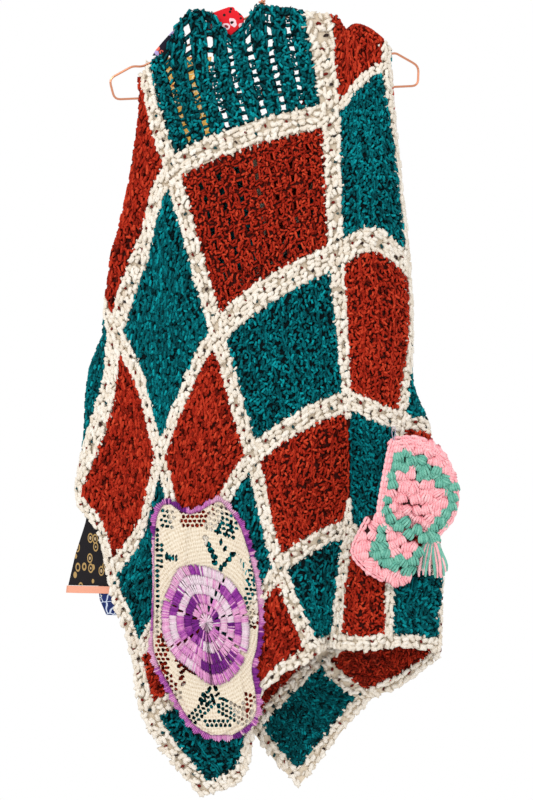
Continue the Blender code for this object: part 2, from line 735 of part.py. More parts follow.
def tassel(upper, finish):
    """A knot whose underside is divided, with a four-sided strand drawn down from each cell.

    It hangs from the right end of the potholder's lower edge.
    """
    corner = upper[-1, -1] - FORWARD * 0.5 * POTHOLDER_WALL
    across, deep, tall = KNOT
    root = Vector((corner[0] - KNOT_INSET, corner[1], corner[2] - RESTING_GAP - tall))
    mesh = bmesh.new()
    bmesh.ops.create_grid(mesh, x_segments=2 * TASSEL_PER_ROW + 1, y_segments=2 * TASSEL_ROWS + 1, size=0.5)
    made = bmesh.ops.extrude_face_region(mesh, geom=list(mesh.faces), use_keep_orig=True)
    upper = [item for item in made["geom"] if isinstance(item, bmesh.types.BMVert)]
    for vertex in upper:
        vertex.co = Vector((vertex.co.x * KNOT_TAPER, vertex.co.y * KNOT_TAPER, 1.0))
    bmesh.ops.recalc_face_normals(mesh, faces=list(mesh.faces))
    mesh.faces.ensure_lookup_table()
    roots = []
    for face in mesh.faces:
        centre = face.calc_center_median()
        if centre.z < 0.01 and abs(face.normal.z) > 0.9:
            i = int((centre.x + 0.5) * (2 * TASSEL_PER_ROW + 1))
            j = int((centre.y + 0.5) * (2 * TASSEL_ROWS + 1))
            if i % 2 == 1 and j % 2 == 1:
                roots.append(face)
    strands = roots
    for vertex in mesh.verts:
        vertex.co = Vector((vertex.co.x * across, vertex.co.y * deep, vertex.co.z * tall))
    for step in range(1, STRAND_STEPS + 1):
        share = step / STRAND_STEPS
        made = bmesh.ops.extrude_discrete_faces(mesh, faces=strands)
        strands = made["faces"]
        for number, face in enumerate(strands):
            centre = face.calc_center_median()
            length = TASSEL_LENGTH * (SHORTEST_STRAND + (1 - SHORTEST_STRAND) * math.sin(2.4 * number) ** 2)
            sway = STRAND_SWAY * math.sin(1.7 * number + 2 * share)
            foot = Vector((centre.x * (1.0 + STRAND_SPREAD[0] / step) + sway,
                           centre.y * (1.0 + STRAND_SPREAD[1] / step), -length * share))
            for vertex in face.verts:
                vertex.co += foot - centre
    for vertex in mesh.verts:
        vertex.co = (root + vertex.co) * MM
    bmesh.ops.recalc_face_normals(mesh, faces=list(mesh.faces))
    return add_object("granny_tassel", mesh, finish)


# Printed cotton sewn inside the cloth. Each is a flat piece, whose depth is (depth at the middle
# of the skirt, how much it grows for each millimetre to the right), or lies on the cloth's inside.
# Then, for each row: drop, left edge, right edge.
LEFT_HEM_PLANE = (-86.5, -0.34)
LEFT_HEM_PLANE_BEHIND = (-84.5, -0.34)
NECK_PLANE = (-5.4, 0.0)
COTTON = {
    "print_black": ("black", LEFT_HEM_PLANE, ((700, -226, -150), (730, -232, -148), (770, -245, -150),
                                              (812, -255, -152))),
    "print_binding": ("peach", LEFT_HEM_PLANE, ((812.5, -257, -152), (822, -258, -152))),
    "print_navy": ("navy", LEFT_HEM_PLANE_BEHIND, ((800, -216, -160), (830, -213, -160), (850, -204, -160))),
    "print_ochre": ("ochre", None, ((118, -134, -66), (150, -140, -70), (190, -128, -66), (240, -112, -68))),
    "print_shoulder": ("navy", NECK_PLANE, ((84, -137, -112), (100, -143, -108), (116, -146, -112))),
    "print_red": ("red", NECK_PLANE, ((52, -71, -24), (70, -76, -18), (95, -62, -28))),
}
COTTON_ACROSS = 5


def cotton(name, inside):
    """A piece of printed cotton on the inner side of the cloth."""
    colour, plane, table = COTTON[name]
    places = outline_grid(resampled(table, 2 * (len(table) - 1)), COTTON_ACROSS)
    if plane:
        depth = plane[0] + plane[1] * places[..., 0]
    else:
        depth = without_creases(filled_in(depths_at(inside, places)), 1) + RESTING_GAP
    wall(name, with_depth(places, depth), with_depth(places, depth + COTTON_WALL), YARNS[colour])


# The wire goes out at the right between stitches, which stand open there.
# Columns: across and drop of the opening's middle, and the pieces it goes through.
WIRE_EXITS = {
    "upper_exit": (165, 111.5, ("border_5", "square_c5_r1")),
    "bar_exit": (167, 157, ("border_5", "square_c5_r2")),
}
EXIT_RADIUS = 4.0
EXIT_LENGTH = 40.0
EXIT_SIDES = 10


def wire_exit(name):
    """A round opening through pieces of the cloth, along the wire."""
    across, drop, pieces = WIRE_EXITS[name]
    mesh = bmesh.new()
    radius = EXIT_RADIUS * MM
    bmesh.ops.create_cone(mesh, cap_ends=True, segments=EXIT_SIDES, radius1=radius, radius2=radius,
                          depth=EXIT_LENGTH * MM, matrix=Matrix.Rotation(math.pi / 2, 4, "Y"))
    data = bpy.data.meshes.new(name)
    mesh.to_mesh(data)
    mesh.free()
    cutter = bpy.data.objects.new(name, data)
    CUTTERS.objects.link(cutter)
    cutter.location = metres((across, 0.0, drop))
    cutter.hide_render = True
    cutter.display_type = "WIRE"
    for piece in pieces:
        opening = bpy.data.objects[piece].modifiers.new("wire exit", "BOOLEAN")
        opening.object = cutter
        opening.operation = "DIFFERENCE"


clear_scene()
SKIRT = collection("crochet_wrap_skirt")
CUTTERS = collection("cutters")
YARNS = {
    "teal": material("teal_yarn", TEAL, 0.85),
    "rust": material("rust_yarn", RUST, 0.85),
    "cream": material("cream_yarn", CREAM, 0.85),
    "ecru": material("doily_cotton", ECRU, 0.8),
    "lilac": material("doily_variegated", LILAC, 0.7),
    "purple": material("doily_purple", PURPLE, 0.7),
    "pink": material("pink_acrylic", PINK, 0.75),
    "mint": material("mint_acrylic", MINT, 0.75),
    "black": material("black_print", BLACK, 0.7),
    "peach": material("peach_binding", PEACH, 0.8),
    "navy": material("navy_print", NAVY, 0.7),
    "red": material("red_print", RED, 0.7),
    "ochre": material("ochre_print", OCHRE, 0.7),
}
COPPER_WIRE = material("copper_wire", COPPER, 0.3, 1.0)

for column in range(BORDERS - 1):
    for row in range(ROWS):
        square(column, row)
for index in range(BORDERS):
    border(index)
for name in WIRE_EXITS:
    wire_exit(name)
hanger_frame(COPPER_WIRE)
hanger_hook(COPPER_WIRE)
FRONT = tree_of(MIDDLE + OUTWARD * (HALF_WALL + RIB_RISE))
INSIDE = tree_of(MIDDLE - OUTWARD * HALF_WALL)
FIELD = doily(FRONT)
doily_flower(FIELD)
doily_edging(FIELD)
FLAP = tree_of(potholder("granny_flap", POTHOLDER_FLAP, (FRONT,), YARNS["mint"]))
UPPER = potholder("granny_upper", POTHOLDER_TOP, (FRONT, FLAP), YARNS["pink"])
tassel(UPPER, YARNS["pink"])
for name in COTTON:
    cotton(name, INSIDE)
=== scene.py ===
# %% [markdown]
# # A crochet patchwork wrap skirt on a wire hanger
#
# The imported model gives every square, border and pocket its place. This lesson dresses them in
# yarn. Each piece is explained before it is made.

# %% The frame
import math

import bpy
import numpy as np
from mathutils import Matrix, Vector
from mathutils.bvhtree import BVHTree


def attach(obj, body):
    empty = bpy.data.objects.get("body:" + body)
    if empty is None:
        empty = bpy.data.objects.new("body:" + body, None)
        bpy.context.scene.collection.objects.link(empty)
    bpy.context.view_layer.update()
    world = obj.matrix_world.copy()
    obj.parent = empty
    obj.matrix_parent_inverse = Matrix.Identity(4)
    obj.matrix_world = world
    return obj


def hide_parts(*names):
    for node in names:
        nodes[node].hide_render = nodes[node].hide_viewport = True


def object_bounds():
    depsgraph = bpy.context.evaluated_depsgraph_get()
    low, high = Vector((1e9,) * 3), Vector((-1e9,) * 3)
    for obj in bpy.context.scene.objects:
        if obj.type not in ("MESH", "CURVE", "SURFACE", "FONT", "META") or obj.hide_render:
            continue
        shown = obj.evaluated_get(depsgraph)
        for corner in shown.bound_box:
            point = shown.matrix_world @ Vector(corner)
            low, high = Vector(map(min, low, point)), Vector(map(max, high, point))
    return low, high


MM = 0.001

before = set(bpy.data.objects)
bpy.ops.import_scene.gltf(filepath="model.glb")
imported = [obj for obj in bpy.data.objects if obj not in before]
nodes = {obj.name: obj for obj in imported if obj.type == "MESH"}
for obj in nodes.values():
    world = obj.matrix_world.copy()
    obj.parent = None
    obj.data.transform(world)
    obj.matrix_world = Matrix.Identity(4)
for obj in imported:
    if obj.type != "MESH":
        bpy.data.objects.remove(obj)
cad_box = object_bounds()
low, high = ([round(v, 3) for v in corner] for corner in cad_box)
print(len(nodes), "solids, from", low, "to", high)

# %% [markdown]
# ## The camera
#
# The photograph was taken straight on with a long lens, so the camera stands far back, level
# with the middle of the skirt.

# %% The camera
PICTURE_MIDDLE = (0.0059, -0.5684)
PICTURE_HEIGHT = 1.0467
CAMERA_DISTANCE = 3.6
CLOTH_FRONT = 0.02  # how far the cloth's front stands before the hanger
SENSOR = 36.0
FARTHEST_SEEN = 60

bpy.ops.object.camera_add(location=(PICTURE_MIDDLE[0], -CAMERA_DISTANCE, PICTURE_MIDDLE[1]),
                          rotation=(math.pi / 2, 0, 0))
camera = bpy.context.object
camera.data.sensor_width = SENSOR
camera.data.lens = SENSOR * (CAMERA_DISTANCE - CLOTH_FRONT) / PICTURE_HEIGHT
camera.data.clip_end = FARTHEST_SEEN
bpy.context.scene.camera = camera
print("lens", round(camera.data.lens), "mm")

# %% [markdown]
# ## The surface of the cloth
#
# The whole skirt is one blanket. It is described by the places where its borders cross, and a
# smooth surface runs through them. The stitches are laid out flat, counted in borders and
# rows, and this surface then says where each of them is in the room.

# %% The crossings and folds
BORDERS = 8
ROWS = 5

# Border by border, at the top edge, rows 1 to 4 and the hem: (across, depth, drop) in mm.
CROSSINGS = (
    ((-166, 16, 503), (-234, -8, 683), (-188, -26, 780), (-162, -34, 902), (-147, -38, 975),
     (-75, -34, 1076)),
    ((-118, 15, 315), (-201, -12, 479), (-133, -44, 642), (-97, -50, 791), (-52, -44, 911), (-16, -34, 1008)),
    ((-156, -9, 134), (-118, -34, 270), (-59, -46, 481), (-13, -50, 642), (22, -52, 787), (68, -52, 893)),
    ((76, -9, 59), (90, -32, 192), (97, -44, 381), (111, -40, 571), (112, -26, 738), (97, -34, 882)),
    ((158, 9, 122), (163, -9, 131), (192, 2, 398), (181, -22, 598), (167, -36, 778), (165, -36, 882)),
    ((94, 20, 100), (96, 34, 228), (112, 44, 438), (212, 6, 617), (233, 2, 797), (232, 0, 898)),
    ((-8, 16, 244), (0, 40, 405), (10, 48, 562), (39, 44, 738), (81, 34, 910), (139, 26, 961)),
    ((-147, 9, 126), (-157, 30, 366), (-160, 36, 588), (-114, 36, 804), (-10, 20, 998), (48, 8, 1068)),
)
# Where the cloth leaves the smooth run between crossings: border, row, across, depth, drop.
FOLDS = (
    (0, 0.5, -208, 14, 597), (0, 1.5, -211, -22, 735), (0, 2.5, -181, -32, 839), (0, 3.5, -157, -38, 940),
    (0, 4.5, -118, -38, 1024), (0.5, 0, -140, 18, 409), (0.5, 0.5, -210, 7, 519), (0.5, 1, -213, -18, 579),
    (0.5, 1.5, -187, -34, 649), (0.5, 2, -165, -38, 733), (0.5, 5, -31, -36, 1055), (1, 0.5, -168, 9, 398),
    (1.5, 0, -131, -6, 220), (1.5, 0.5, -175, -16, 307), (1.5, 1, -160, -30, 372), (1.5, 2, -97, -48, 549),
    (1.5, 5, 3, -48, 937), (2, 0.5, -139, -22, 202), (2.5, 0, -39, -9, 89), (2.5, 3.5, 50, -54, 686),
    (2.5, 4.5, 76, -34, 830), (2.5, 5, 83, -18, 884), (3, 3.5, 115, -12, 655), (3, 4.5, 104, -24, 814),
    (3.5, 0, 120, 10, 118), (3.5, 0.5, 123, 1, 75), (3.5, 1, 128, -18, 152), (3.5, 1.5, 144, -34, 254),
    (3.5, 2, 144, -38, 359), (3.5, 2.5, 152, -44, 477), (3.5, 3, 147, -42, 584), (3.5, 3.5, 147, -42, 673),
    (3.5, 4, 139, -44, 762), (3.5, 4.5, 126, -48, 830), (3.5, 5, 123, -48, 885), (4, 0.5, 165, -1, 102),
    (4, 1.5, 178, -2, 261), (4, 2.5, 194, -2, 490), (4.5, 0, 134, 17, 100), (4.5, 0.5, 152, 18, 116),
    (4.5, 1, 160, 20, 170), (4.5, 1.5, 162, 30, 281), (4.5, 2, 168, 36, 418), (4.5, 2.5, 183, 26, 519),
    (4.5, 3.5, 196, -22, 706), (4.5, 4.5, 199, -26, 846), (4.5, 5, 199, -24, 884), (5, 0.5, 94, 28, 160),
    (5, 2.5, 167, 34, 532), (5, 3.5, 225, 4, 712), (5.5, 0, 44, 18, 190), (5.5, 0.5, 48, 28, 250),
    (5.5, 1, 50, 38, 322), (5.5, 5, 183, 16, 939), (6.5, 0, -77, 13, 202),
)
# Soft pushes out of that run: border, row, reach in borders, reach in rows, then the push across, in
# depth and in drop. Those in row 0 lift the lobes of the top edge.
BULGES = (
    (1.20, 0.74, 0.42, 0.38, -18, 4, 0),
    (0.25, 0.75, 0.40, 0.40, -6, 2, 0),
    (0.50, 0.50, 0.50, 0.40, -10, 0, 0),
    (0.00, 1.05, 0.45, 0.40, -7, 0, 0),
    (0.00, 2.05, 0.60, 0.60, -8, 0, 15),
    (0.50, 2.00, 0.50, 0.40, 8, 0, 4),
    (1.00, 1.35, 1.00, 0.75, 24, 0, 0),
    (0.90, 0.80, 0.30, 0.25, -9, 0, 0),
    (2.29, 0.00, 0.17, 0.40, 0, 0, -46),
    (2.64, 0.00, 0.13, 0.35, 0, 0, -27),
    (2.77, 0.00, 0.12, 0.30, 0, 0, -13),
    (3.25, 0.00, 0.26, 0.35, 0, 0, -14),
    (2.40, 0.00, 0.10, 0.30, 2, 0, -20),
)
print(len(CROSSINGS) * len(CROSSINGS[0]), "crossings and", len(FOLDS), "fold points")


# %% The smooth surface through them
def through(before, start, end, after, share):
    """A smooth curve from start to end that keeps the slope of its neighbours."""
    return 0.5 * (
        2 * start
        + (end - before) * share
        + (2 * before - 5 * start + 4 * end - after) * share**2
        + (3 * start - before - 3 * end + after) * share**3
    )


def with_margin(net):
    """A net with one more point all round, in line with the last two."""
    net = np.concatenate([2 * net[:1] - net[1:2], net, 2 * net[-1:] - net[-2:-1]])
    return np.concatenate([2 * net[:, :1] - net[:, 1:2], net, 2 * net[:, -1:] - net[:, -2:-1]], axis=1)


def on_net(net, a, b):
    """Points of the smooth surface through a net, at places counted in its own steps."""
    wide = with_margin(net)
    i = np.clip(np.floor(a).astype(int), 0, net.shape[0] - 2)
    j = np.clip(np.floor(b).astype(int), 0, net.shape[1] - 2)
    along = (b - j)[..., None]
    lines = [through(wide[i + k, j], wide[i + k, j + 1], wide[i + k, j + 2], wide[i + k, j + 3], along)
             for k in range(4)]
    return through(*lines, (a - i)[..., None])


def cloth_net():
    """The driving points at every half step between borders and rows."""
    borders, rows = np.mgrid[0:BORDERS - 1:1j * (2 * BORDERS - 1), 0:ROWS:1j * (2 * ROWS + 1)]
    net = on_net(np.array(CROSSINGS, float), borders, rows)
    for border, row, *place in FOLDS:
        net[int(border * 2), int(row * 2)] = place
    return net


CLOTH_NET = cloth_net()


def bump(distance, reach):
    """A smooth hump, 1 in the middle and 0 past its reach."""
    return np.cos(0.5 * np.pi * np.clip(distance / reach, -1, 1)) ** 2


def cloth(border, row):
    """The middle of the cloth at a border and row number, in mm, with height up."""
    border, row = np.broadcast_arrays(np.asarray(border, float), np.asarray(row, float))
    place = on_net(CLOTH_NET, border * 2, row * 2)
    for at_border, at_row, reach_border, reach_row, *push in BULGES:
        weight = bump(border - at_border, reach_border) * bump(row - at_row, reach_row)
        place = place + weight[..., None] * np.array(push, float)
    return place * np.array([1.0, 1.0, -1.0])


SLOPE_STEP = 0.02
HIDDEN_BORDER = 4.0  # a border narrower than this is folded away
NARROWEST, WIDEST = 0.012, 0.17
# How wide the crochet pulls each border: for an upright one at rows, in mm, and for a level one
# in each of the seven columns.
UPRIGHT_ROWS = (0, 1, 2, 2.9, 3.2, 3.7, 4, 5)
UPRIGHT_WIDTHS = (
    (16, 16, 20, 22, 22, 22, 22, 20), (18, 27, 24, 25, 24, 23, 22, 20), (20, 22, 22, 21, 20, 19, 19, 19),
    (36, 26, 21, 12, 1, 1, 14, 17), (14, 14, 17, 15, 12, 11, 11, 13), (18, 18, 18, 18, 18, 18, 18, 18),
    (18, 18, 18, 18, 18, 18, 18, 18), (18, 18, 18, 18, 18, 18, 18, 18),
)
LEVEL_WIDTHS = (
    (16, 16, 16, 16, 16, 16, 16), (36, 30, 31, 14, 18, 18, 18), (24, 22, 34, 33, 18, 18, 18),
    (24, 22, 27, 26, 20, 18, 18), (22, 20, 23, 22, 18, 18, 18), (19, 18, 17, 20, 18, 17, 17),
)


def border_width(border, row, across_border):
    """The width of the border that a place lies on, in mm."""
    border, row = np.broadcast_arrays(np.asarray(border, float), np.asarray(row, float))
    if across_border:
        widths = np.array([np.interp(row, UPRIGHT_ROWS, one) for one in UPRIGHT_WIDTHS])
        nearest = np.clip(np.rint(border).astype(int), 0, BORDERS - 1)
        return np.take_along_axis(widths, nearest[None], axis=0)[0]
    column = np.clip(np.floor(border).astype(int), 0, BORDERS - 2)
    return np.array(LEVEL_WIDTHS, float)[np.clip(np.rint(row).astype(int), 0, ROWS), column]


def half_border(border, row, across_border):
    """Half a border's width as a share of the square beside it."""
    side, down = (SLOPE_STEP, 0.0) if across_border else (0.0, SLOPE_STEP)
    slope = (cloth(border + side, row + down) - cloth(border - side, row - down)) / (2 * SLOPE_STEP)
    half = 0.5 * border_width(border, row, across_border)
    return np.clip(half / np.linalg.norm(slope, axis=-1), NARROWEST, WIDEST)


def unit(vectors):
    """The same directions, 1 long."""
    return vectors / np.maximum(np.linalg.norm(vectors, axis=-1, keepdims=True), 1e-9)


PRESSED = 0.6  # how thick the stitches may be in a fold, as a share of its radius
FLATTEST = 0.25
STITCH_RISE = 4.5


def on_cloth(border, row, rise):
    """Points that stand off the cloth by rise, in mm. In a tight fold they are pressed flatter."""
    h = SLOPE_STEP
    middle = cloth(border, row)
    left, right = cloth(border - h, row), cloth(border + h, row)
    above, below = cloth(border, row - h), cloth(border, row + h)
    outward = unit(np.cross(below - above, right - left))
    tightest = 0.0
    for one, other in ((left, right), (above, below)):
        bend = np.linalg.norm(one + other - 2 * middle, axis=-1)
        step = 0.25 * ((other - one) ** 2).sum(axis=-1)
        tightest = np.maximum(tightest, bend / np.maximum(step, 1e-9))
    pressed = np.clip(PRESSED / (np.maximum(tightest, 1e-6) * STITCH_RISE), FLATTEST, 1.0)
    return middle + outward * (rise * pressed)[..., None]


def in_square(column, row, s, t):
    """Border and row numbers at shares s across and t down of a square, between its borders."""
    left, right = half_border(column + 0 * t, row + t, True), half_border(column + 1 + 0 * t, row + t, True)
    border = column + left + s * (1 - left - right)
    top = half_border(border, row + 0 * t, False) if row else 0.0
    bottom = half_border(border, row + 1 + 0 * t, False)
    return border, row + top + t * (1 - top - bottom)


def way_along(line):
    """How far along a line each of its points lies, in mm."""
    return np.concatenate([[0], np.cumsum(np.linalg.norm(np.diff(line, axis=0), axis=1))])


def every(*ranges):
    """All the combinations of some ranges, as one flat list for each range."""
    return (a.ravel() for a in np.meshgrid(*ranges, indexing="ij"))


round_it = cloth(np.linspace(0, BORDERS - 1, 200), 3.0)
print("the blanket is", round(way_along(round_it)[-1]), "mm round at row 3")

# %% [markdown]
# ## Yarn as a finish
#
# Wool yarn scatters light, has fuzz and is spun from plies. The plies are a slanting bump
# along each strand. Every strand also has its own tone, with painted shade deep in the stitch and a painted
# highlight on top.


# %% Helpers for finishes
def finish(name, colour, roughness=0.9, sheen=0.0):
    """A plain dull finish, which the others start from."""
    made = bpy.data.materials.new(name)
    made.use_nodes = True
    shader = made.node_tree.nodes["Principled BSDF"]
    shader.inputs["Base Color"].default_value = (*colour, 1.0)
    shader.inputs["Roughness"].default_value = roughness
    shader.inputs["Specular IOR Level"].default_value = 0.2
    shader.inputs["Sheen Weight"].default_value = sheen
    shader.inputs["Sheen Roughness"].default_value = 0.5
    made.diffuse_color = (*colour, 1.0)
    return made


def add_node(tree, kind, settings=None, **inputs):
    """A shader node with its settings and inputs, each a value or another node's output.

    An input goes by its name, with _ for a space, or by its number, as i0 or i1.
    """
    made = tree.nodes.new(kind)
    for name, value in (settings or {}).items():
        setattr(made, name, value)
    for name, value in inputs.items():
        numbered = name[0] == "i" and name[1:].isdigit()
        socket = made.inputs[int(name[1:]) if numbered else name.replace("_", " ")]
        if isinstance(value, bpy.types.NodeSocket):
            tree.links.new(value, socket)
        else:
            socket.default_value = value
    return made


def maths(tree, operation, *values):
    """The result of a Math node."""
    inputs = {f"i{number}": value for number, value in enumerate(values)}
    return add_node(tree, "ShaderNodeMath", {"operation": operation}, **inputs).outputs[0]


def carried(tree, name):
    """A number that each point of the piece carries as an attribute."""
    return add_node(tree, "ShaderNodeAttribute", {"attribute_name": name}).outputs["Fac"]


def noise(tree, scale, detail=2.0):
    """A soft random value that changes with the place on the object."""
    place = add_node(tree, "ShaderNodeTexCoord").outputs["Object"]
    return add_node(tree, "ShaderNodeTexNoise", Vector=place, Scale=scale, Detail=detail).outputs["Fac"]


def drive(material, **sockets):
    """Links nodes' outputs to the sockets of a material's shader."""
    tree = material.node_tree
    for name, output in sockets.items():
        tree.links.new(output, tree.nodes["Principled BSDF"].inputs[name.replace("_", " ")])


def ramp(tree, factor, stops):
    """A colour ramp through (place, colour) stops."""
    made = add_node(tree, "ShaderNodeValToRGB", Fac=factor)
    elements = made.color_ramp.elements
    while len(elements) < len(stops):
        elements.new(0.5)
    for element, (place, colour) in zip(elements, stops):
        element.position, element.color = place, (*colour, 1.0)
    return made.outputs["Color"]


YARN_SHEEN, YARN_GLOSS = 0.1, 0.08
FIBRE_SCALE = 420.0
PLIES, PLY_SLANT, PLY_DEPTH = 3.0, 2.0, 0.0008


def yarn_finish(name, deep, middle, light, behind=None):
    """Yarn whose strands go from a painted shade in the crevices to a painted highlight on top.

    Behind are three tones of what shows through small holes, for strands at almost no height.
    """
    made = finish(name, middle, 0.85, YARN_SHEEN)
    tree = made.node_tree
    shader = tree.nodes["Principled BSDF"]
    shader.inputs["Sheen Tint"].default_value = (*light, 1.0)
    shader.inputs["Specular IOR Level"].default_value = YARN_GLOSS
    mixed = maths(tree, "MULTIPLY_ADD", noise(tree, FIBRE_SCALE), 0.5, -0.25)
    mixed = maths(tree, "ADD", mixed, carried(tree, "tone"))
    # Painted shade: the tone is scaled by the strand's height, so it darkens deep in the stitch.
    mixed = maths(tree, "MULTIPLY", mixed, carried(tree, "height"))
    stops = [(0.1, deep), (0.48, middle), (0.95, light)]
    if behind:
        first, second, third = behind
        stops[:1] = [(0.01, first), (0.02, second), (0.03, second), (0.04, third), (0.06, third),
                     (0.08, deep)]
    uv = add_node(tree, "ShaderNodeUVMap", {"uv_map": "UVMap"}).outputs["UV"]
    slanted = add_node(tree, "ShaderNodeMapping", Vector=uv, Scale=(PLIES, PLY_SLANT, 1.0)).outputs[0]
    waves = add_node(tree, "ShaderNodeTexWave", {"bands_direction": "DIAGONAL"}, Vector=slanted, Scale=1.0)
    plied = add_node(tree, "ShaderNodeBump", Strength=0.5, Distance=PLY_DEPTH, Height=waves.outputs["Fac"])
    drive(made, Base_Color=ramp(tree, mixed, stops), Normal=plied.outputs[0])
    return made


TEAL_YARN = yarn_finish("teal_yarn_lit", (0.000, 0.002, 0.003), (0.000, 0.104, 0.120), (0.003, 0.320, 0.355))
RUST_YARN = yarn_finish("rust_yarn_lit", (0.055, 0.003, 0.001), (0.39, 0.021, 0.008), (0.64, 0.064, 0.024))
# The cream's deep tone is painted shade between its stitches, and its holes show rust, a near-black painted
# shade, or teal.
CREAM_YARN = yarn_finish("cream_yarn_lit", (0.60, 0.48, 0.35), (0.80, 0.71, 0.59), (0.93, 0.87, 0.78),
                         behind=((0.16, 0.009, 0.004), (0.03, 0.015, 0.012), (0.0, 0.05, 0.06)))
print("yarns:", TEAL_YARN.name, RUST_YARN.name, CREAM_YARN.name)

# %% [markdown]
# ## Laying yarn
#
# A strand of crochet comes up through the work, lies over it and goes down again. It is drawn
# as a short curve whose ends taper into the cloth, and its round bevel gives the yarn its
# thickness. All the curves of a piece are one object, turned into a mesh together, so that a
# square of some 800 strands is quick to make and stays a light mesh.


# %% Strands of yarn
def only(thing):
    """Selects one piece and makes it the active one."""
    bpy.ops.object.select_all(action="DESELECT")
    thing.select_set(True)
    bpy.context.view_layer.objects.active = thing


def give(piece, **attributes):
    """Writes a number for each point of a piece, for its material to read."""
    for name, values in attributes.items():
        written = piece.data.attributes.new(name, "FLOAT", "POINT")
        written.data.foreach_set("value", np.asarray(values, "f"))


WELD = 0.00002


def yarn_piece(name, groups, material):
    """One mesh of many strands, in groups of (points, radii, tones, heights).

    All the strands of a group have as many points. Tone and height go to the material, where height sets the
    painted shade.
    """
    data = bpy.data.curves.new(name, "CURVE")
    data.dimensions = "3D"
    data.bevel_depth = 1.0
    data.bevel_resolution = 0
    tone_list, height_list = [], []
    for points, radii, tones, heights in groups:
        count, steps = points.shape[:2]
        radii = np.broadcast_to(radii, (count, steps)) * MM
        heights = np.broadcast_to(heights, (count, steps))
        placed = np.concatenate([points * MM, np.ones((count, steps, 1))], axis=-1).reshape(count, -1)
        for strand in range(count):
            line = data.splines.new("POLY")
            line.points.add(steps - 1)
            line.points.foreach_set("co", placed[strand])
            line.points.foreach_set("radius", radii[strand])
        tone_list.append(np.repeat(tones, steps))
        height_list.append(heights.reshape(-1))
    made = bpy.data.objects.new(name, data)
    bpy.context.scene.collection.objects.link(made)
    only(made)
    bpy.ops.object.convert(target="MESH")
    made = bpy.context.object
    tones, heights = np.concatenate(tone_list), np.concatenate(height_list)
    sides = len(made.data.vertices) // len(tones)
    give(made, tone=np.repeat(tones, sides), height=np.repeat(heights, sides))
    bpy.ops.object.mode_set(mode="EDIT")
    bpy.ops.mesh.select_all(action="SELECT")
    bpy.ops.mesh.remove_doubles(threshold=WELD)
    bpy.ops.object.mode_set(mode="OBJECT")
    bpy.ops.object.shade_smooth()
    made.data.materials.clear()
    made.data.materials.append(material)
    return made


def triangles(thing):
    """How many triangles a piece has."""
    thing.data.calc_loop_triangles()
    return len(thing.data.loop_triangles)


# The four points of a short strand: where they lie, how deep it is rooted in mm, and its thickness.
STRAND = np.array([-1.0, -0.42, 0.42, 1.0])
ROOTS = np.array([-2.4, 0.0, 0.0, -2.4])
TAPER = np.array([0.0, 1.0, 1.0, 0.0])
# Painted shade of a strand: darkest this far below the cloth, lightest from this far above that.
DARKEST_AT, LIGHTEST_ABOVE = 2.2, 5.0  # mm below the cloth, and from there up


def painted_shade_level(z):
    """How high a point stands in the stitches, from 0 in the work to 1 on top, which sets its painted shade.
    """
    return np.clip((z + DARKEST_AT) / LIGHTEST_ABOVE, 0, 1)


def curls(rng, place, centre, scale, heading, length, bend, top, side=1):
    """Short arcs of yarn round centres, each in the cloth's own plane, in mm turned to shares by scale.

    Returns their points on the cloth and how high each point stands.
    """
    k = STRAND
    count = len(heading)
    along = 0.5 * (length * rng.uniform(0.75, 1.25, count))[:, None] * k
    aside = (bend * rng.choice([-1, 1], count) * rng.uniform(0.3, 1.3, count))[:, None] * (1 - k**2)
    cos, sin = np.cos(heading)[:, None], np.sin(heading)[:, None]
    x = centre[0][:, None] + (along * sin + aside * cos) / scale[0]
    y = centre[1][:, None] + (along * cos - aside * sin) / scale[1]
    z = (top * rng.uniform(0.25, 1.0, count))[:, None] * TAPER + ROOTS
    border, row = place(x, y)
    return on_cloth(border, row, side * z), painted_shade_level(z)


# %% [markdown]
# ## The squares
#
# The blanket is seven squares round and five down, teal and rust in turn. A square could be
# one mesh with a bump for its stitches, but thick yarn casts shadows and has a ragged edge, so
# its stitches are laid one by one: pairs of short curls that lean left and right in upright
# ribs. The two squares in front at the top are stretched open, so their ribs stand apart, with
# short strands between them like the rungs of a ladder, and light shows through.
#
# Some squares show their inner side at the neck, the hem or the left. They get a second layer there, painted
# darker as shade inside the skirt.

# %% Squares
YARN_RADIUS = 1.7
RIB_PITCH = 23.5
STITCH_PITCH = (5.6, 5.8)
LEFT_COLUMNS, FIRST_BEHIND = 2, 4  # how many columns turn away at the left, and the first one behind
LOOSER_LEFT, LOOSER_BEHIND = 1.15, 1.2
LEAN_LEFT, LEAN = 1.15, 0.7  # radians
CURL_LENGTH, CURL_BEND, CURL_RISE = 9.0, 3.2, 3.2
# Two squares stand open between their ribs: how solid a rib is, holes down, strands between two holes,
# the share of holes with a stitch across them, and how thick and long its strands are beside the others.
OPEN = {(2, 0): (0.64, 12, 1, 0.3, 1.08), (2, 1): (0.71, 9, 3, 0.08, 0.86)}
OPEN_RIBS = 8
FIRST_HOLES, MORE_CROSSED = 2, 2.7  # the first holes down are crossed more often
# The strands of an open square, in mm: a rung's length, bend and rise, and the others' bend and rise.
RUNG, LONG_STRAND, SIDE_STITCH, CROSS_STITCH = (11.0, 1.2, 1.6), (1.0, 2.8), (3.0, 2.8), (2.0, 1.4)
CLOSED = 0.95
EDGE_STEP, EDGE_RISE = 12.0, (-0.6, 2.8)
# Painted shade: the columns that turn away at the left and the inner side of the cloth get darker tones.
SHADED_TONES = (0.5, 0.54, 0.6)  # the cloth is a little darker where it turns away at the left
INNER_SHADE_TONE = 0.4


def square_size(column, row):
    """The mean width and height of a square, in mm, measured on the cloth."""
    s, t = np.meshgrid(np.linspace(0, 1, 9), np.linspace(0, 1, 9), indexing="ij")
    points = cloth(*in_square(column, row, s, t))
    width = np.linalg.norm(np.diff(points, axis=0), axis=-1).sum(axis=0).mean()
    return width, np.linalg.norm(np.diff(points, axis=1), axis=-1).sum(axis=1).mean()


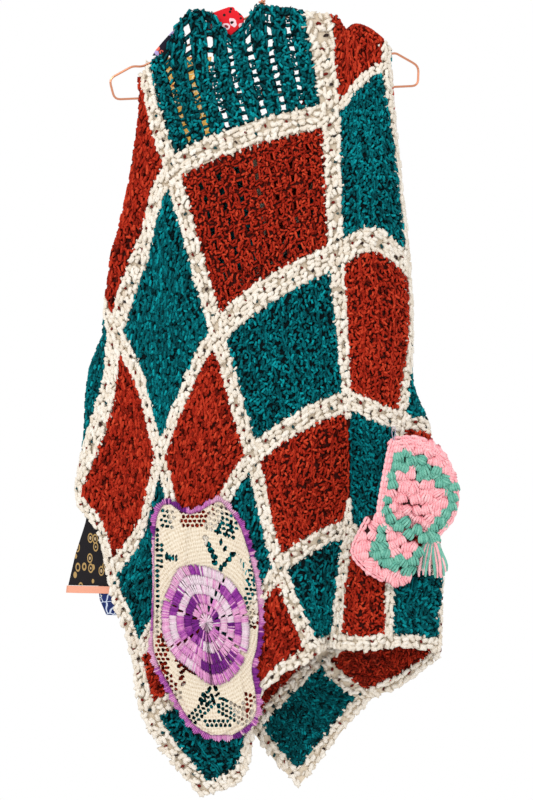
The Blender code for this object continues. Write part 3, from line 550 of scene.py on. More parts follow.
def square_strands(column, row, side=1):
    """The strands of one square: stitches in upright ribs, and strands along the edges of each rib."""
    rng = np.random.default_rng(1000 * (side > 0) + 100 * column + row)
    size = square_size(column, row)
    solid, holes, bars, crossed, scale = OPEN.get((column, row), (CLOSED, 0, 0, 0.0, 1.0))
    ribs = OPEN_RIBS if holes else max(3, round(size[0] / RIB_PITCH))
    if column >= FIRST_BEHIND and side > 0:
        loose = LOOSER_BEHIND
    else:
        loose = LOOSER_LEFT if column < LEFT_COLUMNS else scale
    stitches = max(2, round(size[0] / ribs * solid / (STITCH_PITCH[0] * loose)))
    rows = round(size[1] / (STITCH_PITCH[1] * loose))

    def place(s, t):
        return in_square(column, row, s, t)

    rib, stitch, down, leg = every(range(ribs), range(stitches), range(rows), range(2))
    count = len(rib)
    s = (rib + 0.5 * (1 - solid) + solid * (stitch + 0.5 + rng.uniform(-0.3, 0.3, count)) / stitches) / ribs
    t = (down + 0.5 + rng.uniform(-0.4, 0.4, count)) / rows
    lean = LEAN_LEFT if column < LEFT_COLUMNS else LEAN
    heading = np.where(leg, 1, -1) * lean + rng.normal(0, 0.5, count)
    groups = []

    def lay(centre, heading, length, bend, top):
        points, heights = curls(rng, place, centre, size, heading, length, bend, top, side)
        tone = SHADED_TONES[min(column, LEFT_COLUMNS)] if side > 0 else INNER_SHADE_TONE
        tones = np.clip(rng.normal(tone, 0.2, len(heading)), 0.1, 1.1)
        groups.append((points, TAPER * YARN_RADIUS * loose, tones, heights))

    lay((s, t), heading, CURL_LENGTH * loose, CURL_BEND * loose, CURL_RISE)
    if holes:
        # The rungs between two ribs.
        gap, hole, bar = every(range(1, ribs), range(holes), range(bars))
        share = 2 / 3 if bars == 1 else 0.5
        down = (hole + share + (1 - share) * (bar + 0.5) / bars + rng.uniform(-0.04, 0.04, len(bar))) / holes
        lay((gap / ribs + rng.uniform(-0.004, 0.004, len(bar)), down),
            np.pi / 2 + rng.normal(0, 0.3, len(bar)), *RUNG)
        # A long strand down each side of a hole.
        gap, hole = every(range(1, ribs), range(holes))
        for way in (-1, 1):
            lay((gap / ribs + way * 0.5 * (1 - solid + 0.05) / ribs + rng.normal(0, 0.6, len(gap)) / size[0],
                 (hole + 0.5 * share + rng.normal(0, 0.06, len(gap))) / holes),
                rng.normal(0, 0.16, len(gap)), size[1] / holes * 0.95, *LONG_STRAND)
        # Stitches against the borders at the left and right.
        side_rows = rows + 2
        for way in (0, 1):
            lay((way + (1 - 2 * way) * 0.3 * (1 - solid) / ribs + rng.normal(0, 0.8, side_rows) / size[0],
                 (np.arange(side_rows) + rng.random(side_rows)) / side_rows),
                rng.normal(0, 0.8, side_rows), CURL_LENGTH * loose, *SIDE_STITCH)
        # The crosses over some of the holes.
        across = rng.random(len(gap)) < np.where(hole < FIRST_HOLES, MORE_CROSSED, 1.0) * crossed
        for lean in (LEAN, -LEAN) if side > 0 else ():
            lay((gap[across] / ribs, (hole[across] + 0.5 * share) / holes),
                np.pi / 2 + lean + rng.normal(0, 0.3, across.sum()), CURL_LENGTH, *CROSS_STITCH)
        return groups
    # A wavy strand along each edge of a rib.
    steps = 2 * round(size[1] / EDGE_STEP)
    way = np.tile([-1, 1], ribs)[:, None]
    edges = (np.repeat(np.arange(ribs), 2)[:, None] + 0.5 + 0.5 * way * (solid - 0.06)) / ribs
    wave = np.where(np.arange(steps + 2) % 2, 1, -1) * rng.uniform(0.2, 1.5, (2 * ribs, steps + 2))
    s = edges + (wave + rng.normal(0, 0.5, (2 * ribs, steps + 2))) / size[0]
    z = rng.uniform(*EDGE_RISE, s.shape)
    border, row_number = place(s, np.broadcast_to(np.linspace(0, 1, steps + 2), s.shape))
    radii = np.full(steps + 2, YARN_RADIUS * 0.9)
    radii[[0, -1]] = 0.0
    groups.append((on_cloth(border, row_number, side * z), radii, rng.uniform(0.5, 0.75, len(edges)),
                   painted_shade_level(z)))
    return groups


# The squares whose inner side shows: column, row.
INSIDE_SHOWS = {(4, 4), (5, 4), (6, 4), (5, 3), (6, 3), (0, 4), (1, 4), (0, 3), (2, 0), (3, 0)}
squares = []
for column in range(BORDERS - 1):
    for row in range(ROWS):
        is_teal = (column + row) % 2 == 0
        groups = square_strands(column, row)
        if (column, row) in INSIDE_SHOWS:
            groups += square_strands(column, row, -1)
        piece = yarn_piece(f"crochet_c{column + 1}_r{row + 1}", groups, TEAL_YARN if is_teal else RUST_YARN)
        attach(piece, "root")
        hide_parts(f"square_c{column + 1}_r{row + 1}")
        squares.append(piece)
print(len(squares), "squares,", sum(triangles(p) for p in squares), "triangles")

# %% [markdown]
# ## The ground of the stitches
#
# Between its strands a crocheted square is dark, because the light goes no further. Thousands
# more strands could fill those gaps, but one thin sheet under them is enough, painted with that
# shade: very dark teal or rust, and a darker cream as shade under the borders. It follows the whole blanket,
# edge to edge. Where the two open squares have their holes its faces are deleted, so that one really
# looks through, and the columns behind have a lighter finish, painted light for their inner side that
# shows there, as small loops with painted shade between them.

# %% Ground
GROUND_DEPTH = -0.6
GROUND_REACH = 0.7  # the share of the outermost borders that has a ground, which their stitches pass
GRID_DOWN = 36
RIB_EDGES = (0.16, 0.84)
RIB_SHARES = [0, 1] + [(rib + edge) / OPEN_RIBS for rib in range(OPEN_RIBS) for edge in RIB_EDGES]
RIB_SHARES = np.sort(RIB_SHARES)
HOLE_SHARES = np.linspace(0, 1, GRID_DOWN + 1)
CREAM, INNER = 2, 3  # places in the ground's list of finishes


def cloth_samples():
    """Border and row numbers of a mesh: each border's two edges, and the shares of each square."""
    period, period_down = len(RIB_SHARES), len(HOLE_SHARES)
    across, down = (BORDERS - 1) * period + 2, ROWS * period_down + 1
    border, row = np.zeros((across, down)), np.zeros((across, down))
    for j in range(down):
        even_row = j // period_down + HOLE_SHARES[j % period_down]
        halves = half_border(np.arange(BORDERS, dtype=float), np.full(BORDERS, even_row), True)
        border[0, j] = -GROUND_REACH * halves[0]
        for b in range(BORDERS - 1):
            first = b * period + 1
            border[first:first + period, j] = b + halves[b] + RIB_SHARES * (1 - halves[b] - halves[b + 1])
        border[-2:, j] = BORDERS - 1 - halves[-1], BORDERS - 1 + GROUND_REACH * halves[-1]
    for i in range(across):
        at = [0.0] + [float(half_border(border[i, r * period_down], float(r), False))
                      for r in range(1, ROWS + 1)]
        for r in range(ROWS):
            first = r * period_down
            row[i, first:first + period_down] = r + at[r] + HOLE_SHARES * (1 - at[r] - at[r + 1])
        row[i, -1] = ROWS + GROUND_REACH * at[-1]
    return border, row


def inner_painted_light(name, deep, light):
    """The inner side of the crochet behind, as small loops, for what shows through the open squares: painted
    light on the loops and painted shade between them.
    """
    made = finish(name, light)
    tree = made.node_tree
    place = add_node(tree, "ShaderNodeTexCoord").outputs["Object"]
    loops = add_node(tree, "ShaderNodeTexVoronoi", Vector=place, Scale=190.0).outputs["Distance"]
    drive(made, Base_Color=ramp(tree, loops, [(0.25, light), (0.7, deep)]))
    return made


def shaped_grid(name, across, down, shape):
    """A grid whose points are given by shape(s, t), in mm, with t running down."""
    bpy.ops.object.select_all(action="DESELECT")
    bpy.ops.mesh.primitive_grid_add(x_subdivisions=across, y_subdivisions=down, size=1.0)
    made = bpy.context.object
    made.name = name
    flat = np.array([v.co for v in made.data.vertices])
    points = shape(flat[:, 0] + 0.5, 0.5 - flat[:, 1])
    made.data.vertices.foreach_set("co", (points * MM).ravel().astype("f"))
    return made


def delete_faces(piece, gone):
    """Deletes the faces whose numbers are given."""
    only(piece)
    bpy.ops.object.mode_set(mode="EDIT")
    bpy.ops.mesh.select_mode(type="FACE")
    bpy.ops.mesh.select_all(action="DESELECT")
    bpy.ops.object.mode_set(mode="OBJECT")
    for index in gone:
        piece.data.polygons[int(index)].select = True
    bpy.ops.object.mode_set(mode="EDIT")
    bpy.ops.mesh.delete(type="FACE")
    bpy.ops.mesh.select_mode(type="VERT")
    bpy.ops.object.mode_set(mode="OBJECT")


ground_border, ground_row = cloth_samples()
ground_points = on_cloth(ground_border, ground_row, np.full(ground_border.shape, GROUND_DEPTH))
across, down = (n - 1 for n in ground_border.shape)
ground = shaped_grid("ground", across, down, lambda s, t: ground_points[
    np.rint(s * across).astype(int), np.rint(t * down).astype(int)])
# A grid's points are numbered line by line from its lower left corner, and the samples from the top.
line, i = np.divmod(np.arange(len(ground.data.vertices)), across + 1)
j = down - line
# Painted shade: the dark grounds between the strands. Painted light: the lighter inner sides.
GROUNDS = [finish("teal_ground_shade", (0.000, 0.005, 0.007)), finish("rust_ground_shade", (0.045, 0.004, 0.002)),
           finish("cream_ground_shade", (0.68, 0.58, 0.45)),
           inner_painted_light("teal_inner_side_painted_light", (0.0, 0.10, 0.12), (0.0, 0.34, 0.38)),
           inner_painted_light("rust_inner_side_painted_light", (0.25, 0.015, 0.006), (0.55, 0.05, 0.02))]
for one in GROUNDS:
    ground.data.materials.append(one)
period, period_down = len(RIB_SHARES), len(HOLE_SHARES)
gone = []
for face in ground.data.polygons:
    corner_i, corner_j = i[list(face.vertices)].min(), j[list(face.vertices)].min()
    column, step = divmod(corner_i - 1, period)
    row, step_down = divmod(corner_j, period_down)
    upright_width = border_width(column + 1.0, ground_row[corner_i, corner_j], True)
    between = step == period - 1 and upright_width > HIDDEN_BORDER
    if corner_i == 0 or between or step_down == period_down - 1:
        face.material_index = CREAM
    else:
        face.material_index = (column + row) % 2 + (INNER if column >= FIRST_BEHIND else 0)
        if (column, row) in OPEN and step % 2 == 0 and 0 < step < period - 2:
            if step_down > 1 and step_down % (GRID_DOWN // OPEN[column, row][1]) < 2:
                gone.append(face.index)
delete_faces(ground, gone)
bpy.ops.object.shade_smooth()
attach(ground, "root")
print("ground", triangles(ground), "triangles")

# %% [markdown]
# ## Borders
#
# Every square is edged with cream yarn, and the edges meet as a thick lumpy band. The yarn is
# about twice as thick as in the squares. A border is a few rows of fat stitches, with tips that
# bite into the squares at both sides, and small holes in two lines where the rows are joined. Some
# of the holes are painted dark, as shade, and through others a bit of rust or teal shows, which is a tone of
# the yarn.
# Its strands follow the same surface as the squares, so the bands bend with every fold. Where
# the cloth folds over one of them, its stitches are left out.

# %% Borders
CREAM_RADIUS, THIN_RADIUS = 3.1, 1.9
CREAM_STITCH = (10.0, 7.2)
CREAM_LENGTH, CREAM_BEND, CREAM_RISE = (11, 15.5), (-2.4, 2.4), (1.0, 3.0)
# Painted shade of the cream stitches: darkest this far below the cloth, lightest from this far above that,
# and never darker than the last share.
CREAM_DARKEST_AT, CREAM_LIGHTEST_ABOVE, CREAM_DARKEST = 3.4, 6.0, 0.35
TIP_PITCH = 13.0
TIP_LENGTH, TIP_BEND, TIP_RISE = (6, 9), (-1.5, 1.5), (0.6, 2.0)
HOLES_ASIDE = 0.25
HOLE_LENGTH, HOLE_RISE = 5.5, 2.8  # of the short strand that stands for a hole
# In these, dark is a painted shade in the hole.
BEHIND_HOLES = (0.0, 0.033, 0.0, 0.065)  # heights whose tones are rust, dark and teal
UPRIGHT_HOLES, LEVEL_HOLES, HEM_HOLES = 17.0, 14.0, 40.0
HOLE_ALONG, HOLE_ACROSS = 3.4, 3.8  # how far from a hole's middle the stitches end
TOO_NARROW = 15  # for holes
CREAM_STRAND, CREAM_ROOTS = np.array([-1.0, -0.45, 0.45, 1.0]), np.array([-1.6, 0, 0, -1.6])
# The inner side shows below one row, and above another where the neck is.
INNER_FROM_ROW, INNER_NECK_ROW = 3.4, 1.2
NECK_MIDDLE, NECK_REACH = 2.5, 1


def upright(index):
    """A border from the top edge to the hem: its length, its mean width, and where (along, side) is."""
    rows = np.linspace(0, ROWS + float(half_border(float(index), float(ROWS), False)), 400)
    line = cloth(np.full(400, float(index)), rows)
    lengths = way_along(line)

    def place(along, side):
        row = np.interp(along, lengths, rows)
        return index + side * half_border(index + 0 * row, row, True), row

    widths = border_width(index + 0 * rows, rows, True)
    return lengths[-1], widths[widths > HIDDEN_BORDER].mean(), place


def level(column, row):
    """A border under a row of squares, between two upright ones."""
    t = np.full(100, float(row))
    left = float(half_border(float(column), float(row), True))
    right = float(half_border(column + 1.0, float(row), True))
    borders = np.linspace(column + left, column + 1 - right, 100)
    line = cloth(borders, t)
    lengths = way_along(line)

    def place(along, side):
        border = np.interp(along, lengths, borders)
        return border, row + side * half_border(border, row + 0 * border, False)

    return lengths[-1], float(border_width(column + 0.5, float(row), False)), place


def border_strands(run, seed, hole_pitch, side=1, tipped=(-1, 1)):
    """Fat lumpy stitches in a few rows along a border, its small holes, and the tips at its two edges.

    Along is in mm, and across runs from -1 to 1 between the border's edges. Tipped are the edges with
    tips, which the hem and the two outer edges don't have.
    """
    rng = np.random.default_rng(seed)
    length, width, place = run
    half = 0.5 * width
    groups = []

    def lay(along, across, heading, reach, bend, top, radius, height=None):
        k = CREAM_STRAND
        count = len(along)
        run_on = 0.5 * reach[:, None] * k
        aside = bend[:, None] * (1 - k**2)
        cos, sin = np.cos(heading)[:, None], np.sin(heading)[:, None]
        x = np.clip(along[:, None] + run_on * cos - aside * sin, 0, length)
        y = across[:, None] + (run_on * sin + aside * cos) / half
        z = top[:, None] * TAPER + CREAM_ROOTS
        border, row = place(x, y)
        gap = np.linalg.norm(cloth(*place(along, -1.0)) - cloth(*place(along, 1.0)), axis=-1)
        kept = gap > HIDDEN_BORDER
        if side < 0:
            neck = (row.max(axis=1) < INNER_NECK_ROW) & (np.abs(border[:, 1] - NECK_MIDDLE) < NECK_REACH)
            kept &= neck | (row.min(axis=1) > INNER_FROM_ROW)
        if kept.any():
            # Painted shade: stitches low in the work are darker.
            lit = np.clip((z + CREAM_DARKEST_AT) / CREAM_LIGHTEST_ABOVE, CREAM_DARKEST, 1)
            heights = lit if height is None else height[:, None] + 0 * z
            tones = np.clip(rng.normal(0.75, 0.12, count), 0.3, 1.0)
            groups.append((on_cloth(border, row, side * z)[kept],
                           (radius * rng.uniform(0.88, 1.12, count))[kept, None] * TAPER,
                           tones[kept], heights[kept]))

    rows = max(1, round(width / CREAM_STITCH[1]))
    stitches = max(1, round(length / CREAM_STITCH[0]))
    line, stitch, leg = every(range(rows), range(stitches), range(2))
    count = len(line)
    along = (stitch + 0.5 + rng.uniform(-0.25, 0.25, count)) / stitches * length
    across = (line + 0.5 + rng.uniform(-0.2, 0.2, count)) / rows * 2 - 1
    nearest = np.round(along / hole_pitch)
    aside = across - HOLES_ASIDE * (1 - 2 * (nearest % 2))
    near_hole = (np.abs(along - nearest * hole_pitch) < HOLE_ALONG) & (np.abs(aside) * half < HOLE_ACROSS)
    near_hole &= width > TOO_NARROW
    heading = np.where(leg, 0.45, -0.35) * np.where(line % 2, 1, -1) + rng.normal(0, 0.35, count)
    solid = ~near_hole
    lay(along[solid], 0.96 * across[solid], heading[solid], rng.uniform(*CREAM_LENGTH, count)[solid],
        rng.uniform(*CREAM_BEND, count)[solid], rng.uniform(*CREAM_RISE, count)[solid], CREAM_RADIUS)
    if width > TOO_NARROW:
        middles = np.arange(hole_pitch, length - 4, hole_pitch) + rng.uniform(-1.5, 1.5)
        n = len(middles)
        if n:
            lay(middles, rng.uniform(-0.12, 0.12, n) + np.resize([-HOLES_ASIDE, HOLES_ASIDE], n),
                rng.normal(1.2, 0.5, n), np.full(n, HOLE_LENGTH), np.zeros(n), np.full(n, HOLE_RISE),
                THIN_RADIUS, np.resize(BEHIND_HOLES, n))
    tips = max(1, round(length / TIP_PITCH))
    for way in tipped:
        along = (np.arange(tips) + 0.5 + rng.uniform(-0.2, 0.2, tips)) / tips * length
        across = way * (1 + 0.2 / half + rng.uniform(-0.5, 0.8, tips) / half)
        lay(along, across, rng.normal(0.5 * np.pi, 0.35, tips), rng.uniform(*TIP_LENGTH, tips),
            rng.uniform(*TIP_BEND, tips), rng.uniform(*TIP_RISE, tips), THIN_RADIUS)
    return groups


borders = []
for index in range(BORDERS):
    groups = []
    for side in (1, -1):
        tipped = {0: (1,), BORDERS - 1: (-1,)}.get(index, (-1, 1))
        groups += border_strands(upright(index), 900 + index, UPRIGHT_HOLES, side, tipped)
        if index < BORDERS - 1:
            for row in range(1, ROWS + 1):
                tipped = (-1,) if row == ROWS else (-1, 1)
                pitch = HEM_HOLES if row == ROWS else LEVEL_HOLES
                groups += border_strands(level(index, row), 950 + 10 * index + row, pitch, side, tipped)
    piece = yarn_piece(f"crochet_border_{index + 1}", groups, CREAM_YARN)
    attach(piece, "root")
    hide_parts(f"border_{index + 1}")
    borders.append(piece)
print(len(borders), "borders,", sum(triangles(p) for p in borders), "triangles")

# %% [markdown]
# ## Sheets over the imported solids
#
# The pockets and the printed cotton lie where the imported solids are. Rays from the front find
# those solids, and a sheet through the places they hit carries the fine work.


# %% Sheets from rays
SIDE_MARGIN = 0.02  # rays keep this share of the width from the solid's own edges


def over(name, rows, across=24, down=60, softening=3):
    """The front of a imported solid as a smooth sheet. Rows are drop, left edge and right edge, in mm.

    Returns a function from (across, drop, rise) in mm to points, and one from a drop to the two edges.
    """
    mesh = nodes[name].data
    tree = BVHTree.FromPolygons([v.co for v in mesh.vertices], [tuple(p.vertices) for p in mesh.polygons])
    rows = np.array(rows, float)
    drops = np.linspace(rows[0, 0], rows[-1, 0], down + 1)
    sides = np.stack([np.interp(drops, rows[:, 0], rows[:, k]) for k in (1, 2)], axis=1)
    for _ in range(softening):
        sides[1:-1] = 0.25 * sides[:-2] + 0.5 * sides[1:-1] + 0.25 * sides[2:]
    depth = np.full((across + 1, down + 1), np.nan)
    for i in range(across + 1):
        for j in range(down + 1):
            x = sides[j, 0] + (sides[j, 1] - sides[j, 0]) * (SIDE_MARGIN + (1 - 2 * SIDE_MARGIN) * i / across)
            hit = tree.ray_cast(Vector((x * MM, -1, -drops[j] * MM)), Vector((0, 1, 0)))
            if hit[0]:
                depth[i, j] = hit[0].y / MM
    # Places that no ray hit take the mean of their neighbours, then all are evened out.
    while np.isnan(depth).any() or softening:
        padded = np.pad(depth, 1, mode="edge")
        near = np.stack([padded[:-2, 1:-1], padded[2:, 1:-1], padded[1:-1, :-2], padded[1:-1, 2:]])
        mean = np.nansum(near, axis=0) / np.maximum((~np.isnan(near)).sum(axis=0), 1)
        mean[np.isnan(near).all(axis=0)] = np.nan
        holes = np.isnan(depth)
        if holes.any():
            depth = np.where(holes, mean, depth)
        else:
            depth = 0.5 * depth + 0.5 * mean
            softening -= 1

    def edges(drop):
        return np.interp(drop, drops, sides[:, 0]), np.interp(drop, drops, sides[:, 1])

    def stand(x, drop, rise=0.0):
        left, right = edges(drop)
        a = np.clip((x - left) / (right - left), 0, 1) * across
        b = np.clip((drop - drops[0]) / (drops[-1] - drops[0]), 0, 1) * down
        i, j = np.minimum(a.astype(int), across - 1), np.minimum(b.astype(int), down - 1)
        a, b = a - i, b - j
        y = ((1 - a) * (1 - b) * depth[i, j] + a * (1 - b) * depth[i + 1, j]
             + (1 - a) * b * depth[i, j + 1] + a * b * depth[i + 1, j + 1])
        return np.stack(np.broadcast_arrays(x, y - rise, -drop), axis=-1)

    return stand, edges


# %% [markdown]
# ## The doily
#
# The doily is fine cotton, worked in rounds outwards from its flower. Its rounds are so fine
# that they are a bump that counts its distance from the middle. Its holes are real, laid out
# as nets of small square holes and as leaves of slanted slots.


# %% Helpers for lace
def cut(piece, gone):
    """Deletes the faces whose numbers are given and rounds the corners that are left."""
    delete_faces(piece, gone)
    bpy.ops.object.mode_set(mode="EDIT")
    bpy.ops.mesh.select_all(action="DESELECT")
    bpy.ops.mesh.select_non_manifold()
    bpy.ops.mesh.vertices_smooth(factor=0.5, repeat=1)
    bpy.ops.object.mode_set(mode="OBJECT")


def sine(tree, name, pitch):
    """Ridges along a point attribute, one each pitch, between -1 and 1."""
    return maths(tree, "SINE", maths(tree, "MULTIPLY", carried(tree, name), 2 * math.pi / pitch))


# %% Lace
# The doily's outline: drop, left edge and right edge.
DOILY = (
    (706, -128, -52), (716, -136, -38), (730, -138, -28), (760, -140, -18), (800, -140, -8),
    (850, -141, -3), (890, -142, -6), (915, -134, -14), (945, -117, -8), (965, -106, -6), (980, -97, -8),
    (994, -86, -20), (1003, -66, -38),
)
# How far the top edge sags between its corners: across, down.
DOILY_SAG = (
    (-140, -2), (-118, -3), (-104, 7), (-93, 10), (-80, 6), (-66, -3), (-57, -7), (-46, -4), (-30, 0),
)
SAG_REACH = 45.0
# Its folds: how far they lie from the edges, where they start, and how deep they are.
RIGHT_FOLD, RIGHT_FOLD_FROM, RIGHT_FOLD_DEPTH = 17, 745, 2.6
LEFT_FOLD, LEFT_FOLD_DEPTH = 9, 1.8
PLEAT_AT, PLEAT_LEAN, PLEAT_HEIGHT, PLEAT_WIDTH = -106, 0.06, 3.2, 4.0
DOILY_MIDDLE, DOILY_TOP = 850, 700
FLOWER_CENTRE = np.array((-79.0, 851.0))
FLOWER_REACH = np.array((52.0, 77.0))
FLOWER_HEART = np.array((-72.0, 856.0))
OPENING_ASIDE, OPENING_SHARE = (3, 6), 0.9  # the lace is open under the flower
DOILY_CELL = 1.6
# Nets of holes: middle across and drop, half width and half height, lean in degrees, pitch both ways.
NETS = (
    (-135.5, 806, 1.5, 74, 0, 8.0, 6.6), (-129.0, 858, 1.5, 30, 0, 8.0, 7.0),
    (-130.0, 770, 1.5, 16, 0, 8.0, 7.0), (-90, 722, 16, 11, 0, 5.8, 5.8),
    (-52, 724, 22, 18, 20, 6.2, 6.4), (-124, 722, 8, 12, 10, 6.2, 6.4), (-131, 898, 10, 26, 0, 5.8, 5.8),
    (-120, 934, 5, 26, -28, 6.0, 6.0), (-12, 820, 11, 46, 8, 5.8, 6.0), (-34, 974, 26, 11, 28, 5.8, 5.8),
    (-80, 972, 24, 10, -45, 5.8, 5.8), (-59, 987, 18, 7, 0, 5.8, 5.6), (-18, 960, 9, 13, 20, 6.0, 6.0),
)
NET_HOLE = (2.35, 2.15)
SLOT_SCALE = 1.3
ROUND_PITCH, ROUND_SQUASH = 5.2, 0.8
POST_PITCH, POSTS_COUNTED_AT = 2.6, 80.0  # how far from the heart
# Slots, middle across and drop, half width and half height, lean in degrees.
SLOTS = (
    (-73, 747, 3.2, 2.6, 30), (-70, 755, 3.6, 2.6, 30), (-66, 763, 3.8, 2.6, 30),
    (-62, 771, 3.8, 2.6, 30), (-61, 779, 3.2, 2.6, 40), (-54, 729, 1.6, 4.4, 10),
    (-57, 738, 1.6, 4.0, 10), (-40, 733, 1.6, 6.0, -5), (-47, 742, 1.8, 2.6, 30),
    (-38, 768, 3.4, 2.6, -25), (-43, 775, 3.4, 2.4, -35), (-48, 781, 3.0, 2.2, -60),
    (-53, 786, 2.0, 3.4, 5), (-48, 761, 1.6, 3.0, 20), (-53, 752, 1.4, 3.4, 5), (-123, 771, 1.6, 4.2, 0),
    (-119, 773, 1.3, 3.4, 0), (-115, 773, 1.3, 3.4, 0), (-111, 773, 1.3, 3.4, 0),
    (-109, 905, 3.4, 1.7, -20), (-106, 912, 3.8, 1.8, -35), (-103, 920, 3.8, 1.8, -40),
    (-104, 928, 3.6, 1.8, -45), (-102, 936, 3.4, 1.8, -50), (-68, 943, 1.8, 3.2, 25),
    (-60, 942, 2.0, 3.4, -20), (-75, 951, 3.0, 2.4, 40), (-79, 957, 3.0, 2.2, 40),
    (-58, 950, 3.0, 1.5, -35), (-65, 951, 2.2, 1.4, 30), (-71, 947, 2.0, 1.4, 40),
    (-53, 955, 2.4, 1.4, -20), (-48, 957, 2.0, 1.4, 10), (-63, 958, 2.4, 1.4, 30),
    (-70, 962, 2.2, 1.5, 20), (-56, 963, 2.2, 1.5, -20),
)


def turned(x, z, degrees):
    """A place turned about the origin."""
    cos, sin = math.cos(math.radians(degrees)), math.sin(math.radians(degrees))
    return x * cos - z * sin, x * sin + z * cos


def lace_holes():
    """All the holes: middle across, drop, half width, half height, lean."""
    holes = [(x, drop, wide * SLOT_SCALE, tall * SLOT_SCALE, lean) for x, drop, wide, tall, lean in SLOTS]
    for x, drop, wide, tall, lean, pitch, down in NETS:
        lines, posts = max(1, round(2 * tall / down)), max(1, round(2 * wide / pitch))
        for line in range(lines):
            for post in range(posts):
                shifted = 0.5 * (line % 2) * (posts > 1)
                aside = (post + 0.5 - posts / 2 + shifted) * pitch
                dx, dz = turned(aside, (line + 0.5 - lines / 2) * down, lean)
                holes.append((x + dx, drop + dz, *NET_HOLE, lean))
    return np.array(holes, float)


doily_stand, doily_edges = over("doily_field", DOILY)


def sag(x, drop):
    """The drop after the top edge has sagged."""
    across, down = np.array(DOILY_SAG, float).T
    share = np.clip(1 - (drop - DOILY[0][0]) / SAG_REACH, 0, 1)
    return drop + np.interp(x, across, down) * share


def doily_place(x, drop, rise=0.0):
    """A point of the doily: its two sides fold back, each at its own line, and one pleat runs down it."""
    left, right = doily_edges(drop)
    back = RIGHT_FOLD_DEPTH * np.clip((x - (right - RIGHT_FOLD)) / 3.0, 0, 1)
    back = back * np.clip((drop - RIGHT_FOLD_FROM) / 20, 0, 1)
    back = back + LEFT_FOLD_DEPTH * np.clip((left + LEFT_FOLD - x) / 3.0, 0, 1)
    off = x - PLEAT_AT + PLEAT_LEAN * (drop - DOILY_MIDDLE)
    pleat = PLEAT_HEIGHT * np.exp(-(off / PLEAT_WIDTH) ** 2) * np.clip((drop - DOILY_TOP) / 20, 0, 1)
    return doily_stand(x, sag(x, drop), rise - back + pleat)


def doily_shape(s, t):
    """The whole doily, for its grid."""
    drop = DOILY[0][0] + t * (DOILY[-1][0] - DOILY[0][0])
    left, right = doily_edges(drop)
    return doily_place(left + s * (right - left), drop)


width = max(right - left for _, left, right in DOILY)
length = DOILY[-1][0] - DOILY[0][0]
lace = shaped_grid("doily_lace", round(width / DOILY_CELL), round(length / DOILY_CELL), doily_shape)
points = np.array([v.co for v in lace.data.vertices]) / MM
away = (points[:, [0, 2]] * (1, -1) - FLOWER_HEART) * (FLOWER_REACH[1] / FLOWER_REACH[0] * ROUND_SQUASH, 1)
give(lace, ring=np.linalg.norm(away, axis=1), around=np.arctan2(away[:, 1], away[:, 0]) * POSTS_COUNTED_AT)
centres = np.array([f.center for f in lace.data.polygons])[:, [0, 2]] / MM * (1, -1)
gone = np.zeros(len(centres), bool)
for x, drop, wide, tall, lean in lace_holes():
    dx, dz = turned(centres[:, 0] - x, centres[:, 1] - drop, -lean)
    gone |= (dx / wide) ** 2 + (dz / tall) ** 2 < 1
opening = (centres - FLOWER_CENTRE - OPENING_ASIDE) / (FLOWER_REACH * OPENING_SHARE)
inside = (opening**2).sum(axis=1) < 1
cut(lace, np.flatnonzero(gone | inside))
bpy.ops.object.shade_smooth()

LACE = finish("doily_cotton_lit", (0.86, 0.75, 0.56), 0.85, 0.05)
tree = LACE.node_tree
speck = noise(tree, 450.0, 3.0)
ridge = maths(tree, "MULTIPLY_ADD", sine(tree, "around", POST_PITCH), 0.7, sine(tree, "ring", ROUND_PITCH))
ridge = maths(tree, "MULTIPLY", ridge, speck)
shade = maths(tree, "MULTIPLY_ADD", ridge, 0.2, speck)
# The colour follows the ridges too, with painted shade between the rounds and posts, and a random speck.
shade = ramp(tree, shade, [(0.2, (0.48, 0.37, 0.25)), (0.42, (0.73, 0.62, 0.47)), (0.75, (0.87, 0.78, 0.64))])
knotted = add_node(tree, "ShaderNodeBump", Strength=0.55, Distance=0.0006, Height=ridge).outputs[0]
drive(LACE, Base_Color=shade, Normal=knotted)
lace.data.materials.append(LACE)
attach(lace, "root")
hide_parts("doily_field")
print("doily", len(gone), "cells,", int(gone.sum()), "open,", triangles(lace), "triangles")

# %% [markdown]
# ## The flower
#
# The flower is worked in rounds too, with yarn whose colour changes as it is worked, so every
# round has stretches of purple, orchid, pink and lilac. Each of its stitches is a short upright
# strand between two rounds. Small gaps in line make its spokes, and it has one fold, painted darker along its
# crease as shade.

# %% The flower
VARIEGATED = yarn_finish("doily_variegated_lit", (0.05, 0.005, 0.06), (0.5, 0.1, 0.5), (0.8, 0.6, 0.8))
tree = VARIEGATED.node_tree
mixed = maths(tree, "MULTIPLY_ADD", noise(tree, 300.0), 0.2, -0.1)
mixed = maths(tree, "ADD", mixed, carried(tree, "tone"))
dyed = ramp(tree, mixed, [(0.05, (0.14, 0.015, 0.19)), (0.25, (0.27, 0.03, 0.32)), (0.45, (0.62, 0.16, 0.55)),
                          (0.65, (0.86, 0.40, 0.66)), (0.95, (0.88, 0.73, 0.80))])
# Painted shade: the dye is darkened where a strand is low, and along the crease.
dark = add_node(tree, "ShaderNodeMapRange", Value=carried(tree, "height"), To_Min=0.25, To_Max=1.0).outputs[0]
drive(VARIEGATED, Base_Color=add_node(tree, "ShaderNodeVectorMath", {"operation": "SCALE"}, i0=dyed,
                                      Scale=dark).outputs[0])

DYES = (0.12, 0.3, 0.5, 0.6, 0.65, 0.7, 0.72, 0.85, 0.92, 0.95)  # from purple to lilac, most of them pink
DYE_LENGTH = (10, 38)


def dye(rng, lengths):
    """A tone for each place along a length of variegated yarn, in mm: it changes in stretches."""
    ends, tones = [0.0], []
    while ends[-1] < lengths.max() + 8:
        ends.append(ends[-1] + rng.uniform(*DYE_LENGTH))
        tones.append(rng.choice(DYES))
    ragged = np.clip(lengths + rng.normal(0, 3.0, len(lengths)), 0, ends[-1] - 1)
    return np.array(tones)[np.searchsorted(ends, ragged, side="right") - 1]


ROUNDS = 6
FLOWER_STITCH = 1.9
